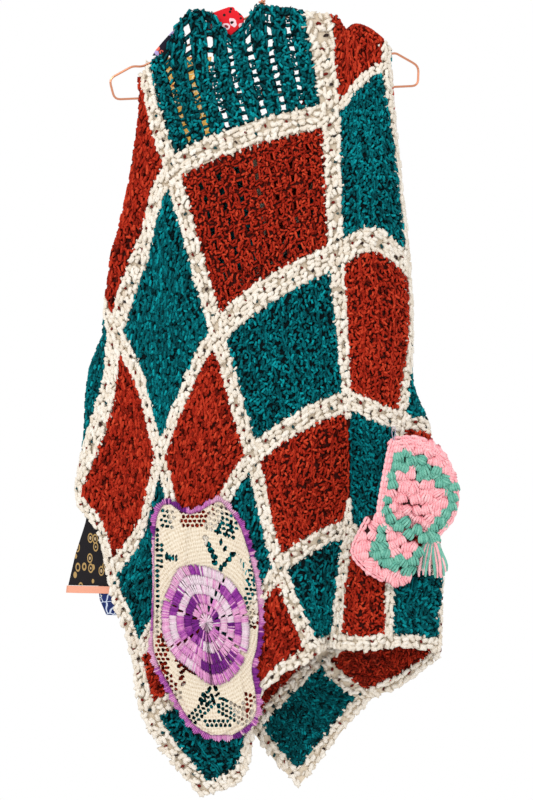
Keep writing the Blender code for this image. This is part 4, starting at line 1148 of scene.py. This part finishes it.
# The four points of one of its strands: where they lie and how far they wander, their rise and radius
# in mm, and how light they are painted, with painted shade at their ends.
FLOWER_STRAND, FLOWER_WANDER = np.array([0.0, 0.2, 0.8, 1.0]), np.array([0.0, 0.3, 1.0, 1.0])
FLOWER_RISE, FLOWER_YARN = np.array([-0.2, 1.4, 1.8, 0.0]), np.array([1.0, 1.45, 1.45, 0.9])
FLOWER_PAINTED_LIGHT = np.array([0.75, 1.0, 1.0, 0.45])
# How far the flower reaches from its heart: degrees anticlockwise from the right, reach in mm.
FLOWER_RIM = (
    (-85, 81), (-72, 82), (-60, 76), (-40, 66), (-20, 58), (0, 54), (20, 54), (45, 57), (70, 65), (90, 71),
    (115, 79), (135, 66), (152, 61), (180, 57), (205, 58), (220, 59), (240, 61), (255, 65), (275, 81),
)
SPOKES = (24, -28, 80, 163, 228)  # degrees from the right, anticlockwise
SPOKE_GAP, SPOKE_SWIRL = 1.9, 0.25
FOLD_END = np.array((-65.0, 938.0))
CREASE_WIDTH, CREASE_DEPTH = 2.2, 2.6
RIM_START, RIM_TURN = 85.95, 1.5  # so that angles fall in the rim's list


def flower_point(share, angle, rise):
    """A point of the flower: share 0 at its heart and 1 at its rim."""
    degrees, reach = np.array(FLOWER_RIM, float).T
    reach = np.interp(np.degrees(angle + RIM_TURN) % 360 - RIM_START, degrees, reach)
    rim = np.stack([np.cos(angle), -np.sin(angle)], axis=-1) * reach[..., None]
    places = FLOWER_HEART + rim * share[..., None]
    line = FOLD_END - FLOWER_HEART
    along = ((places - FLOWER_HEART) @ line) / (line @ line)
    off = np.linalg.norm(places - FLOWER_HEART - np.clip(along, 0, 1)[..., None] * line, axis=-1)
    crease = np.exp(-((off / CREASE_WIDTH) ** 2)) * (along > 0)
    lift = 3.0 * np.exp(-(((off - 6) / 6.0) ** 2)) * (along > 0)
    rise = rise + 1.0 + 2.0 * (1 - share**2) + lift - CREASE_DEPTH * crease
    return doily_place(places[..., 0], places[..., 1], rise), crease


def flower_strands():
    """The upright strands of all the rounds, shorter where a spoke crosses them."""
    rng = np.random.default_rng(51)
    groups = []
    for number in range(ROUNDS):
        inner, outer = (number - 0.06) / ROUNDS, (number + 1.08) / ROUNDS
        reach = 0.5 * (inner + outer)
        ring = 2 * math.pi * reach * FLOWER_REACH.mean()
        count = max(8, round(ring / FLOWER_STITCH))
        angle = 2 * math.pi * (np.arange(count) + rng.uniform(-0.2, 0.2, count)) / count
        open_at = np.zeros(count, bool)
        for spoke in SPOKES:
            off = (angle - math.radians(spoke) + SPOKE_SWIRL * reach + math.pi) % (2 * math.pi) - math.pi
            open_at |= (np.abs(off) * reach * FLOWER_REACH.mean() < SPOKE_GAP) & (number > 0)
        k = FLOWER_STRAND + rng.uniform(-0.05, 0.05, (count, 1)) * FLOWER_WANDER
        share = inner + (outer - inner) * np.where(open_at[:, None], 0.24 * k, k)
        swirled = angle[:, None] + rng.normal(0.02, 0.006, (count, 1)) * k / max(reach, 0.2)
        points, crease = flower_point(share, swirled, FLOWER_RISE)
        tones = dye(rng, angle * reach * FLOWER_REACH.mean()) if number else np.full(count, 0.85)
        tones = np.clip(tones + rng.normal(0, 0.07, count), 0, 1)
        heights = FLOWER_PAINTED_LIGHT * rng.uniform(0.75, 1.0, (count, 1))
        # Painted shade along the crease.
        heights = np.clip(heights - 0.9 * crease, 0, 1)
        groups.append((points, FLOWER_YARN, tones, heights))
    return groups


flower = yarn_piece("doily_flower_stitches", flower_strands(), VARIEGATED)
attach(flower, "root")
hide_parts("doily_flower")
print("flower", triangles(flower), "triangles")

# %% [markdown]
# ## The edging
#
# The same yarn runs on round the doily as a ruffle. It is too full for the rim, so it swings to
# and fro, and its strands are longer in the middle of each scallop. Down the left it is tucked
# behind, so little of it shows.

# %% Edging
EDGING_STITCH = 2.1
EDGING_WIDTH = 8.5
SCALLOP = 13.0
RUFFLE = 4.2
# The four points of one of its strands, from the rim outwards, with how light they are painted: darker at the
# rim, as shade.
EDGING_STRAND, EDGING_RISE = np.array([-0.12, 0.25, 0.75, 1.0]), np.array([0.4, 1.4, 1.2, 0.0])
EDGING_YARN, EDGING_PAINTED_LIGHT = np.array([0.6, 1.35, 1.35, 0.5]), np.array([0.4, 0.9, 1.0, 0.7])
TUCKED_LEFT_OF, TUCKED_MIDDLE, TUCKED_REACH = -130, 810, 75  # where the left edge is folded out of sight


def doily_rim():
    """Points all round the doily, at equal steps, with their way out."""
    drops = np.linspace(DOILY[0][0], DOILY[-1][0], 80)
    left, right = doily_edges(drops)
    top = np.linspace(left[0], right[0], 40)
    foot = np.linspace(right[-1], left[-1], 20)
    rim = np.concatenate([np.stack([left[::-1], drops[::-1]], 1), np.stack([top, top * 0 + drops[0]], 1),
                          np.stack([right, drops], 1), np.stack([foot, foot * 0 + drops[-1]], 1)])
    length = way_along(rim)
    count = round(length[-1] / EDGING_STITCH)
    at = np.linspace(0, length[-1], count, endpoint=False)
    rim = np.stack([np.interp(at, length, rim[:, k]) for k in (0, 1)], axis=1)
    ahead = np.roll(rim, -4, axis=0) - np.roll(rim, 4, axis=0)
    return rim, unit(np.stack([ahead[:, 1], -ahead[:, 0]], axis=1)), at


rng = np.random.default_rng(77)
rim, outwards, at = doily_rim()
wave = np.abs(np.sin(np.pi * at / SCALLOP)) * rng.uniform(0.6, 1.1, len(at))
hidden = np.clip(1 - np.abs(rim[:, 1] - TUCKED_MIDDLE) / TUCKED_REACH, 0, 1) ** 0.3
hidden = 0.8 * (rim[:, 0] < TUCKED_LEFT_OF) * hidden
reach = (EDGING_WIDTH * (0.5 + 0.55 * wave) * (1 - hidden))[:, None] * EDGING_STRAND
flat = rim[:, None] + outwards[:, None] * reach[..., None]
ruffle = RUFFLE * np.sin(2 * np.pi * at / (1.7 * SCALLOP) + 2 * np.sin(at / 31)) + 1.8
ruffle = ruffle[:, None] * np.clip(EDGING_STRAND, 0, 1) + EDGING_RISE
points = doily_place(flat[..., 0], flat[..., 1], ruffle)
tones = np.clip(dye(rng, at) * 0.8 + rng.normal(0, 0.05, len(at)), 0, 0.7)
lights = EDGING_PAINTED_LIGHT * rng.uniform(0.75, 1, (len(at), 1))
edging = yarn_piece("doily_edging_stitches", [(points, EDGING_YARN, tones, lights)], VARIEGATED)
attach(edging, "root")
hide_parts("doily_edging")
print("edging", triangles(edging), "triangles")

# %% [markdown]
# ## The granny square potholder
#
# A potholder of thick acrylic yarn hangs from its corner: one square, with a second behind it
# that shows below. Granny squares are built from clusters, each a puff of fat strands from one
# hole, in rows that change from pink to mint.

# %% Potholder
PINK_YARN = yarn_finish("pink_acrylic_lit", (0.50, 0.10, 0.13), (0.98, 0.42, 0.46), (1.0, 0.58, 0.60))
MINT_YARN = yarn_finish("mint_acrylic_lit", (0.03, 0.13, 0.10), (0.13, 0.42, 0.32), (0.24, 0.58, 0.45))
POTHOLDER_TOP = (
    (617, 168, 196), (622, 165, 222), (636, 162, 236), (660, 157, 248), (690, 152, 256), (715, 147, 253),
    (735, 152, 242), (748, 176, 226),
)
POTHOLDER_FLAP = (
    (716, 138, 146), (742, 124, 150), (765, 113, 172), (780, 124, 205), (795, 142, 200), (806, 164, 186),
)
# Middles of the clusters: across, drop.
UPPER_PINK = (
    (176, 631), (187, 622), (201, 622), (210, 629), (218, 637), (226, 634), (232, 641), (219, 627),
    (234, 650), (240, 658), (228, 649), (178, 666), (194, 664), (183, 682), (196, 684), (212, 678),
    (167, 689), (183, 695), (198, 697), (214, 695), (229, 689), (170, 706), (187, 710), (201, 711),
    (213, 710), (224, 707), (236, 701), (203, 724), (218, 722), (226, 714), (213, 731), (232, 703),
    (245, 668), (190, 632), (204, 633),
)
UPPER_MINT = (
    (176, 641), (188, 636), (174, 652), (184, 656), (192, 647), (207, 647), (211, 663), (227, 659),
    (231, 676), (240, 673), (249, 680), (249, 695), (167, 666), (168, 677), (162, 697), (160, 710),
    (246, 706), (239, 715), (231, 725), (222, 734),
)
FLAP_MINT = (
    (166, 722), (187, 726), (177, 732), (201, 736), (191, 742), (209, 747), (154, 735), (154, 746),
    (156, 757), (145, 757), (150, 768), (159, 766), (161, 779), (170, 783), (177, 773), (184, 779),
    (187, 790), (196, 775), (202, 765),
)
FLAP_PINK = (
    (150, 722), (144, 732), (142, 743), (167, 744), (180, 750), (170, 755), (173, 764), (188, 759),
    (196, 758), (188, 769), (138, 757), (132, 768), (140, 780), (147, 788), (158, 791), (165, 798),
    (174, 794), (174, 803), (184, 802), (188, 796), (126, 760),
)
PUFF_STRANDS, PUFF_LEAN = 4, 0.45
PUFF_REACH = (7.0, 7.6)
# The five points of one strand of a cluster: where they lie and how far the strands stand apart there,
# their rise and radius in mm, and how light they are painted, with painted shade at the ends that go into the
# work.
PUFF_STRAND, PUFF_SPREAD = np.array([-1.0, -0.55, 0.1, 0.7, 1.0]), np.array([0.35, 0.75, 1.0, 1.0, 0.8])
PUFF_RISE, PUFF_YARN = np.array([-1.5, 2.0, 3.4, 2.4, -1.5]), np.array([0.9, 2.0, 2.3, 2.1, 0.9])
PUFF_PAINTED_LIGHT = np.array([0.15, 0.8, 1.0, 0.8, 0.15])
# The same for one strand of a chain, with its radius as a share of the yarn's.
LINK_STRAND, LINK_SPREAD = np.array([-0.15, 0.2, 0.55, 0.9, 1.15]), np.array([0.05, 0.42, 0.5, 0.34, 0.05])
LINK_RISE, LINK_YARN = np.array([-0.5, 2.0, 2.6, 2.4, 1.0]), np.array([0.6, 1, 1.08, 1, 0.6])
LINK_PAINTED_LIGHT = np.array([0.3, 0.9, 1.0, 0.9, 0.4])
FILLER_PITCH, FILLER_CLEAR, FILLER_SUNK = 10.5, 5.0, -2.2
FILLER_INSET = (8, 6)  # from the first edges and from the last
PAD_THICKNESS, COTTON_THICKNESS = 4.0, 1.0


def puffs(rng, stand, middles, lift=0.0):
    """Clusters of fat strands, each drawn together at one end."""
    middles = np.array(middles, float)
    middles = middles + rng.normal(0, 0.5, middles.shape)
    count = len(middles)
    lean = rng.normal(0, PUFF_LEAN, count)
    points, tones = [], []
    for strand in range(PUFF_STRANDS):
        side = (strand + 0.5) / PUFF_STRANDS * 2 - 1
        across = PUFF_REACH[0] * side * PUFF_SPREAD * rng.uniform(0.85, 1.1, (count, 1))
        down = PUFF_REACH[1] * PUFF_STRAND * rng.uniform(0.85, 1.1, (count, 1))
        cos, sin = np.cos(lean)[:, None], np.sin(lean)[:, None]
        x = middles[:, :1] + across * cos - down * sin
        drop = middles[:, 1:] + across * sin + down * cos
        points.append(stand(x, drop, PUFF_RISE + 1.2 * (1 - side**2) + lift))
        tones.append(np.clip(rng.normal(0.72, 0.12, count), 0.2, 1.0))
    return np.concatenate(points), PUFF_YARN, np.concatenate(tones), PUFF_PAINTED_LIGHT


def chain(rng, stand, path, pitch, width, lift, radius=2.1):
    """A crocheted chain along a path of (across, drop): two bulging strands to each link."""
    path = np.array(path, float)
    length = way_along(path)
    links = max(2, round(length[-1] / pitch))
    at = (np.arange(links)[:, None] + LINK_STRAND) / links * length[-1]
    line = np.stack([np.interp(at, length, path[:, n]) for n in (0, 1)], axis=-1)
    ahead = unit(np.gradient(line, axis=1))
    aside = np.stack([ahead[..., 1], -ahead[..., 0]], axis=-1)
    points = []
    for way in (-1, 1):
        offset = way * width * LINK_SPREAD * rng.uniform(0.9, 1.1, (links, 1))
        place = line + aside * offset[..., None]
        points.append(stand(place[..., 0], place[..., 1], LINK_RISE + lift))
    tones = np.clip(rng.normal(0.75, 0.1, 2 * links), 0.3, 1)
    return np.concatenate(points), radius * LINK_YARN, tones, LINK_PAINTED_LIGHT


def thicken(piece, thickness):
    """Gives a sheet a thickness behind it, in mm."""
    only(piece)
    solid = piece.modifiers.new("thickness", "SOLIDIFY")
    solid.thickness, solid.offset = thickness * MM, -1
    bpy.ops.object.modifier_apply(modifier=solid.name)
    bpy.ops.object.shade_smooth()


def pad(name, stand, edges, rows):
    """The painted shade between the puffs: a dark closed pad, pulled in at its rim."""
    top, foot = rows[0][0] + 2, rows[-1][0] - 2

    def shape(s, t):
        drop = top + t * (foot - top)
        left, right = edges(drop)
        s = 0.04 + 0.92 * s
        return stand(left + s * (right - left), drop, -0.5 * PAD_THICKNESS)

    made = shaped_grid(name, 16, 20, shape)
    thicken(made, PAD_THICKNESS)
    made.data.materials.append(PAD_SHADE)
    return made


def joined(name, *things):
    """One piece out of several, each with its own finish."""
    bpy.ops.object.select_all(action="DESELECT")
    for thing in things:
        thing.select_set(True)
    bpy.context.view_layer.objects.active = things[0]
    bpy.ops.object.join()
    bpy.context.object.name = name
    return bpy.context.object


def fillers(rng, edges, rows, *colours):
    """Places between the clusters, on a lattice, sorted by the colour of the nearest listed cluster."""
    sorted_places = [[] for _ in colours]
    first, last = FILLER_INSET
    for line, drop in enumerate(np.arange(rows[0][0] + first, rows[-1][0] - last, FILLER_PITCH)):
        left, right = edges(drop)
        for x in np.arange(left + first + 0.5 * FILLER_PITCH * (line % 2), right - last, FILLER_PITCH):
            place = np.array((x, drop)) + rng.normal(0, 0.8, 2)
            nearest = [np.linalg.norm(np.array(middles, float) - place, axis=1).min() for middles in colours]
            if min(nearest) > FILLER_CLEAR:
                sorted_places[int(np.argmin(nearest))].append(tuple(place))
    return sorted_places


def side_path(edges, rows, side, inset, start=0.0, end=1.0):
    """A path of 30 points down one side of a pocket, left (0) or right (1), inset in mm."""
    drops = rows[0][0] + np.linspace(start, end, 30) * (rows[-1][0] - rows[0][0])
    edge = edges(drops)[side]
    return np.stack([edge + (inset if side == 0 else -inset), drops], axis=1)


# %% The two granny squares
rng = np.random.default_rng(31)
upper_stand, upper_edges = over("granny_upper", POTHOLDER_TOP, 12, 16, 2)
flap_stand, flap_edges = over("granny_flap", POTHOLDER_FLAP, 12, 16, 2)
PAD_SHADE = finish("potholder_shade", (0.05, 0.02, 0.018))

left_path = side_path(upper_edges, POTHOLDER_TOP, 0, 3.0, 0.02, 0.93)
right_path = side_path(upper_edges, POTHOLDER_TOP, 1, 2.0, 0.0, 0.98)
upper_more = fillers(rng, upper_edges, POTHOLDER_TOP, UPPER_PINK, UPPER_MINT)
flap_more = fillers(rng, flap_edges, POTHOLDER_FLAP, FLAP_PINK, FLAP_MINT)
upper_pad = pad("granny_upper_pad", upper_stand, upper_edges, POTHOLDER_TOP)
upper_pink = yarn_piece("granny_upper_pink", [
    puffs(rng, upper_stand, UPPER_PINK),
    puffs(rng, upper_stand, upper_more[0], FILLER_SUNK),
    chain(rng, upper_stand, left_path, 8.0, 4.4, 2.0, 2.5),
    chain(rng, upper_stand, left_path + (3.6, 0), 8.0, 3.0, 0.5, 2.4),
    chain(rng, upper_stand, [(170, 620), (196, 618), (214, 623)], 10, 6.0, 1.5),
    chain(rng, upper_stand, [(175, 627), (200, 626), (222, 632), (238, 646)], 11, 6.0, 2.0),
    chain(rng, upper_stand, right_path[:20], 11, 5.0, 0.5),
    chain(rng, upper_stand, right_path[16:], 11, 3.5, -1.0),
], PINK_YARN)
upper_mint = yarn_piece("granny_upper_mint", [
    puffs(rng, upper_stand, UPPER_MINT, 0.5),
    puffs(rng, upper_stand, upper_more[1], FILLER_SUNK),
    chain(rng, upper_stand, [(246, 700), (240, 715), (228, 728), (214, 742)], 7, 5.0, 0.5, 1.7),
], MINT_YARN)
upper = joined("granny_upper_clusters", upper_pad, upper_pink, upper_mint)
flap_pad = pad("granny_flap_pad", flap_stand, flap_edges, POTHOLDER_FLAP)
flap_pink = yarn_piece("granny_flap_pink", [
    puffs(rng, flap_stand, FLAP_PINK),
    puffs(rng, flap_stand, flap_more[0], FILLER_SUNK),
    chain(rng, flap_stand, side_path(flap_edges, POTHOLDER_FLAP, 0, 2.0, 0.05, 0.95), 9, 4.5, 0.5),
], PINK_YARN)
flap_mint = yarn_piece("granny_flap_mint", [
    puffs(rng, flap_stand, FLAP_MINT, 0.8),
    puffs(rng, flap_stand, flap_more[1], FILLER_SUNK),
], MINT_YARN)
flap = joined("granny_flap_clusters", flap_pad, flap_pink, flap_mint)
print("fillers between the clusters:", sum(len(one) for one in upper_more + flap_more))

# %% [markdown]
# ## The thread
#
# A loop of thin thread holds the potholder's top corner to the border.

# %% Thread
THREAD_RADIUS, THREAD_POINTS, THREAD_HEIGHT = 0.55, 14, 19.0
THREAD_CORNER = (172.0, 620.0)
k = np.linspace(0, 1, THREAD_POINTS)
corner = upper_stand(*np.array(THREAD_CORNER)[:, None])[0]
loop = np.stack([corner[0] - 1.5 + 2.2 * np.sin(2 * np.pi * k), corner[1] - 5.0 - 1.5 * np.sin(np.pi * k),
                 corner[2] - 2.0 + THREAD_HEIGHT * np.sin(np.pi * k)], axis=1)
THREAD = yarn_finish("thread_lit", (0.12, 0.08, 0.16), (0.35, 0.29, 0.42), (0.62, 0.56, 0.68))
thread = yarn_piece("corner_thread", [(loop[None], np.full(THREAD_POINTS, THREAD_RADIUS), np.array([0.7]),
                                       np.full(THREAD_POINTS, 1.0))], THREAD)
upper = joined("granny_upper_clusters", upper, thread)
for piece, node, name in ((upper, "granny_upper", "pink_acrylic"), (flap, "granny_flap", "mint_acrylic")):
    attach(piece, "root")
    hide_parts(node)
    print(piece.name, triangles(piece), "triangles")

# %% [markdown]
# ## The tassel
#
# The ends of both yarns are knotted at the potholder's lower corner and hang down free. They
# come over the knot in an arch first, because acrylic yarn is springy.

# %% Tassel
TASSEL_ROOT = (221.0, 752.0)
TASSEL_STRANDS = 16
TASSEL_SPREAD, TASSEL_LENGTH = 21, 50
TASSEL_HELD_AT = 740.0  # the drop where its depth is taken
# The eight points of one of its strands: their radius in mm, and how light they are painted, with painted
# shade at the knot.
TASSEL_YARN = np.array([1.2, 2.0, 2.25, 2.25, 2.25, 2.25, 2.2, 1.3])
TASSEL_PAINTED_LIGHT = np.array([0.3, 0.7, 0.9, 1, 1, 1, 1, 0.8])


def tassel_strands(rng, numbers):
    """The strands with these numbers, from left to right, each a soft arch over the knot."""
    k = np.linspace(0, 1, len(TASSEL_YARN))
    depth = upper_stand(np.array([TASSEL_ROOT[0]]), np.array([TASSEL_HELD_AT]))[0, 1]
    lines = []
    for number in numbers:
        side = 2 * (number + 0.5) / TASSEL_STRANDS - 1
        foot = TASSEL_SPREAD * side + rng.normal(0, 1.5)
        length = TASSEL_LENGTH - 9 * rng.random() - 6 * side**2
        x = TASSEL_ROOT[0] + foot * np.sin(0.5 * np.pi * k) + 0.8 * np.sin(6 * k + number)
        arch = 9 * abs(side) * np.sin(np.pi * np.minimum(k * 2.2, 1))
        drop = TASSEL_ROOT[1] - arch + length * k**1.3
        y = depth - 1.5 - 3.2 * np.sin(np.pi * np.minimum(k * 1.6, 1)) + rng.uniform(-3, 2.5) * k
        lines.append(np.stack([x, y, -drop], axis=1))
    return np.array(lines), TASSEL_YARN, rng.uniform(0.65, 1.0, len(lines)), TASSEL_PAINTED_LIGHT


rng = np.random.default_rng(8)
mint_numbers = [n for n in range(TASSEL_STRANDS) if n % 5 in (0, 3)]
pink_numbers = [n for n in range(TASSEL_STRANDS) if n not in mint_numbers]
knot = np.array(TASSEL_ROOT) + ((-7, -6), (-2, -7), (3, -6), (-3, -2), (2, -2))
tassel_mint = yarn_piece("tassel_mint", [tassel_strands(rng, mint_numbers),
                                         puffs(rng, upper_stand, knot, 1.0)], MINT_YARN)
tassel_pink = yarn_piece("tassel_pink", [tassel_strands(rng, pink_numbers)], PINK_YARN)
tassel = joined("granny_tassel_strands", tassel_pink, tassel_mint)
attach(tassel, "root")
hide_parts("granny_tassel")
print("tassel", triangles(tassel), "triangles")

# %% [markdown]
# ## Printed cotton
#
# Some bits of printed cotton look out behind the stitches. They are thin cloth with soft waves.
# Each has a small print of its own in its material, of ovals, petals, leaves or dots.


# %% Printed cotton
def cotton(name, plane, rows, material):
    """A piece of cotton. Its plane is its depth at the middle, and how much that grows to the right."""
    rows = np.array(rows, float)

    def shape(s, t):
        drop = rows[0, 0] + t * (rows[-1, 0] - rows[0, 0])
        left, right = np.interp(drop, rows[:, 0], rows[:, 1]), np.interp(drop, rows[:, 0], rows[:, 2])
        x = left + s * (right - left)
        y = plane[0] + plane[1] * x + 1.2 * np.sin(x / 9.0) * np.sin(drop / 40.0)
        return np.stack([x, y, -drop], axis=-1)

    made = shaped_grid(name + "_cloth", 24, 24, shape)
    thicken(made, COTTON_THICKNESS)
    made.data.materials.append(material)
    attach(made, "root")
    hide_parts(name)
    return made


# Figures whose cells are bent by a noise: its waves and detail, how far it bends, and what is drawn.
BENT = {"petals": (1.6, 1.0, 0.6, "F1"), "leaves": (0.7, 0.0, 1.0, "DISTANCE_TO_EDGE")}
OVAL = 0.55
NEXT_LAYER = (0.013, 0, 0.029)  # how far the cells of another size are moved


def print_finish(name, ground, figures, through=0.0):
    """Cotton with a small print: each figure is (kind, size in mm, threshold, colour).

    Through is a painted glow: the print emits its own colour at this strength, for the light from behind,
    where the thin cloth stands in the light of the wall.
    """
    made = finish(name, ground, 0.85)
    tree = made.node_tree
    place = add_node(tree, "ShaderNodeTexCoord").outputs["Object"]
    colour = (*ground, 1.0)
    for number, (kind, size, threshold, figure) in enumerate(figures):
        moved = 0 if number and figures[number - 1][1] == size else number
        cells = add_node(tree, "ShaderNodeMapping", Vector=place,
                         Location=[moved * step for step in NEXT_LAYER],
                         Scale=(1.0, 0.05, OVAL if kind == "ovals" else 1.0)).outputs[0]
        feature = "F1"
        if kind in BENT:
            waves, detail, reach, feature = BENT[kind]
            bend = add_node(tree, "ShaderNodeTexNoise", Vector=cells, Scale=waves / (size * MM),
                            Detail=detail)
            cells = add_node(tree, "ShaderNodeVectorMath", {"operation": "MULTIPLY_ADD"},
                             i0=bend.outputs["Color"], i1=(reach * size * MM,) * 3, i2=cells).outputs[0]
        value = add_node(tree, "ShaderNodeTexVoronoi", {"feature": feature}, Vector=cells,
                         Scale=1 / (size * MM))
        below = maths(tree, "LESS_THAN", value.outputs["Distance"], threshold)
        colour = add_node(tree, "ShaderNodeMix", {"data_type": "RGBA"}, i0=below, i6=colour,
                          i7=(*figure, 1.0)).outputs[2]
    drive(made, Base_Color=colour, Emission_Color=colour)
    tree.nodes["Principled BSDF"].inputs["Emission Strength"].default_value = through
    return made


BLACK_PRINT = print_finish("black_print_lit", (0.012, 0.010, 0.012), (
    ("ovals", 10.0, 0.36, (0.42, 0.27, 0.10)), ("ovals", 10.0, 0.25, (0.012, 0.010, 0.012)),
    ("ovals", 10.0, 0.14, (0.50, 0.36, 0.20))))
NAVY_PRINT = print_finish("navy_print_lit", (0.012, 0.025, 0.12), (
    ("leaves", 11.0, 0.05, (0.55, 0.62, 0.75)), ("dots", 6.0, 0.14, (0.75, 0.72, 0.50))))
RED_PRINT = print_finish("red_print_lit", (0.72, 0.012, 0.022), (
    ("petals", 13.0, 0.38, (0.86, 0.62, 0.67)), ("petals", 13.0, 0.17, (0.28, 0.02, 0.03)),
    ("dots", 9.0, 0.22, (0.02, 0.01, 0.01))))
SHOULDER_PRINT = print_finish("shoulder_print_lit", (0.012, 0.010, 0.022), (
    ("petals", 24.0, 0.42, (0.46, 0.36, 0.66)), ("petals", 24.0, 0.24, (0.012, 0.010, 0.022)),
    ("dots", 15.0, 0.22, (0.80, 0.14, 0.10))))
# The ochre print glows, as painted light from behind.
OCHRE_PRINT = print_finish("ochre_print_lit", (1.0, 0.55, 0.12), (
    ("leaves", 9.0, 0.05, (1.0, 0.88, 0.62)), ("dots", 11.0, 0.18, (0.60, 0.10, 0.08))), 0.45)
PEACH_BINDING = finish("peach_binding_lit", (0.80, 0.36, 0.24), 0.85)
HEM_PLANE, HEM_BEHIND, NECK_PLANE = (-86.5, -0.34), (-84.5, -0.34), (-5.4, 0.0)
black = cotton("print_black", HEM_PLANE, ((700, -226, -150), (730, -232, -148), (770, -245, -150),
                                          (812, -255, -152)), BLACK_PRINT)
binding = cotton("print_binding", HEM_PLANE, ((812.5, -257, -152), (822, -258, -152)),
                 PEACH_BINDING)
navy = cotton("print_navy", HEM_BEHIND, ((800, -216, -160), (830, -213, -160), (850, -204, -160)),
              NAVY_PRINT)
shoulder = cotton("print_shoulder", NECK_PLANE, ((84, -118, -106), (95, -128, -106), (109, -140, -106),
                                                 (116, -144, -110)), SHOULDER_PRINT)
OCHRE = ((118, -134, -66), (150, -140, -70), (190, -128, -66), (240, -112, -68))
ochre_stand, ochre_edges = over("print_ochre", OCHRE, 8, 12, 1)


def ochre_shape(s, t):
    """The ochre cotton, just under the front of its solid, with soft waves."""
    drop = OCHRE[0][0] + (OCHRE[-1][0] - OCHRE[0][0]) * t
    left, right = ochre_edges(drop)
    return ochre_stand(left * (1 - s) + right * s, drop, -0.8 - 0.6 * np.sin(7 * s + 2 * t))


ochre = shaped_grid("print_ochre_cloth", 24, 32, ochre_shape)
ochre.data.materials.append(OCHRE_PRINT)
bpy.ops.object.shade_smooth()
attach(ochre, "root")
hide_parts("print_ochre")
red = cotton("print_red", NECK_PLANE, ((52, -44, -38), (56, -55, -34), (62, -70, -27), (66, -73, -24),
                                       (87, -72, -23), (95, -62, -24)), RED_PRINT)
print("printed cottons:", ", ".join(one.name for one in (black, binding, navy, shoulder, ochre, red)))

# %% [markdown]
# ## The hanger
#
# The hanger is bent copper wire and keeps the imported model's form. It only needs its metal.

# %% Copper
COPPER = finish("copper_wire_lit", (0.62, 0.26, 0.15), 0.28)
COPPER.node_tree.nodes["Principled BSDF"].inputs["Metallic"].default_value = 0.9
for name in ("hanger_frame", "hanger_hook"):
    nodes[name].data.materials.clear()
    nodes[name].data.materials.append(COPPER)

# %% [markdown]
# The printed cottons state only what shows of them.

# %% [markdown]
# ## Stage and lights
#
# The photo is evenly lit on white, with soft shadows that fall to the right. A white world does
# most of that, with a big soft light from the left and a weak one from the right. The floor is
# far below the hem, so nothing touches it.

# %% Stage and lights
FLOOR = -1.30
bpy.ops.object.select_all(action="DESELECT")
bpy.ops.mesh.primitive_circle_add(vertices=96, radius=1.15, fill_type="NGON", location=(0, 0, FLOOR))
floor = bpy.context.object
floor.name = "floor"
floor.data.materials.append(finish("pale_floor", (0.86, 0.86, 0.86), 0.9))


def soft_light(name, place, aim, size, power):
    """A round area light that looks at its aim."""
    data = bpy.data.lights.new(name, "AREA")
    data.shape, data.size, data.energy = "DISK", size, power
    made = bpy.data.objects.new(name, data)
    made.location = place
    made.rotation_euler = (Vector(aim) - Vector(place)).to_track_quat("-Z", "Y").to_euler()
    bpy.context.scene.collection.objects.link(made)


soft_light("key", (-1.4, -2.2, 0.9), (0, 0, -0.5), 0.9, 24)
soft_light("fill", (1.8, -2.4, -0.3), (0, 0, -0.6), 1.4, 5)
world = bpy.data.worlds.new("studio")
bpy.context.scene.world = world
world.use_nodes = True
world.node_tree.nodes["Background"].inputs["Color"].default_value = (1, 1, 1, 1)
world.node_tree.nodes["Background"].inputs["Strength"].default_value = 1.0
bpy.context.scene.view_settings.view_transform = "Standard"
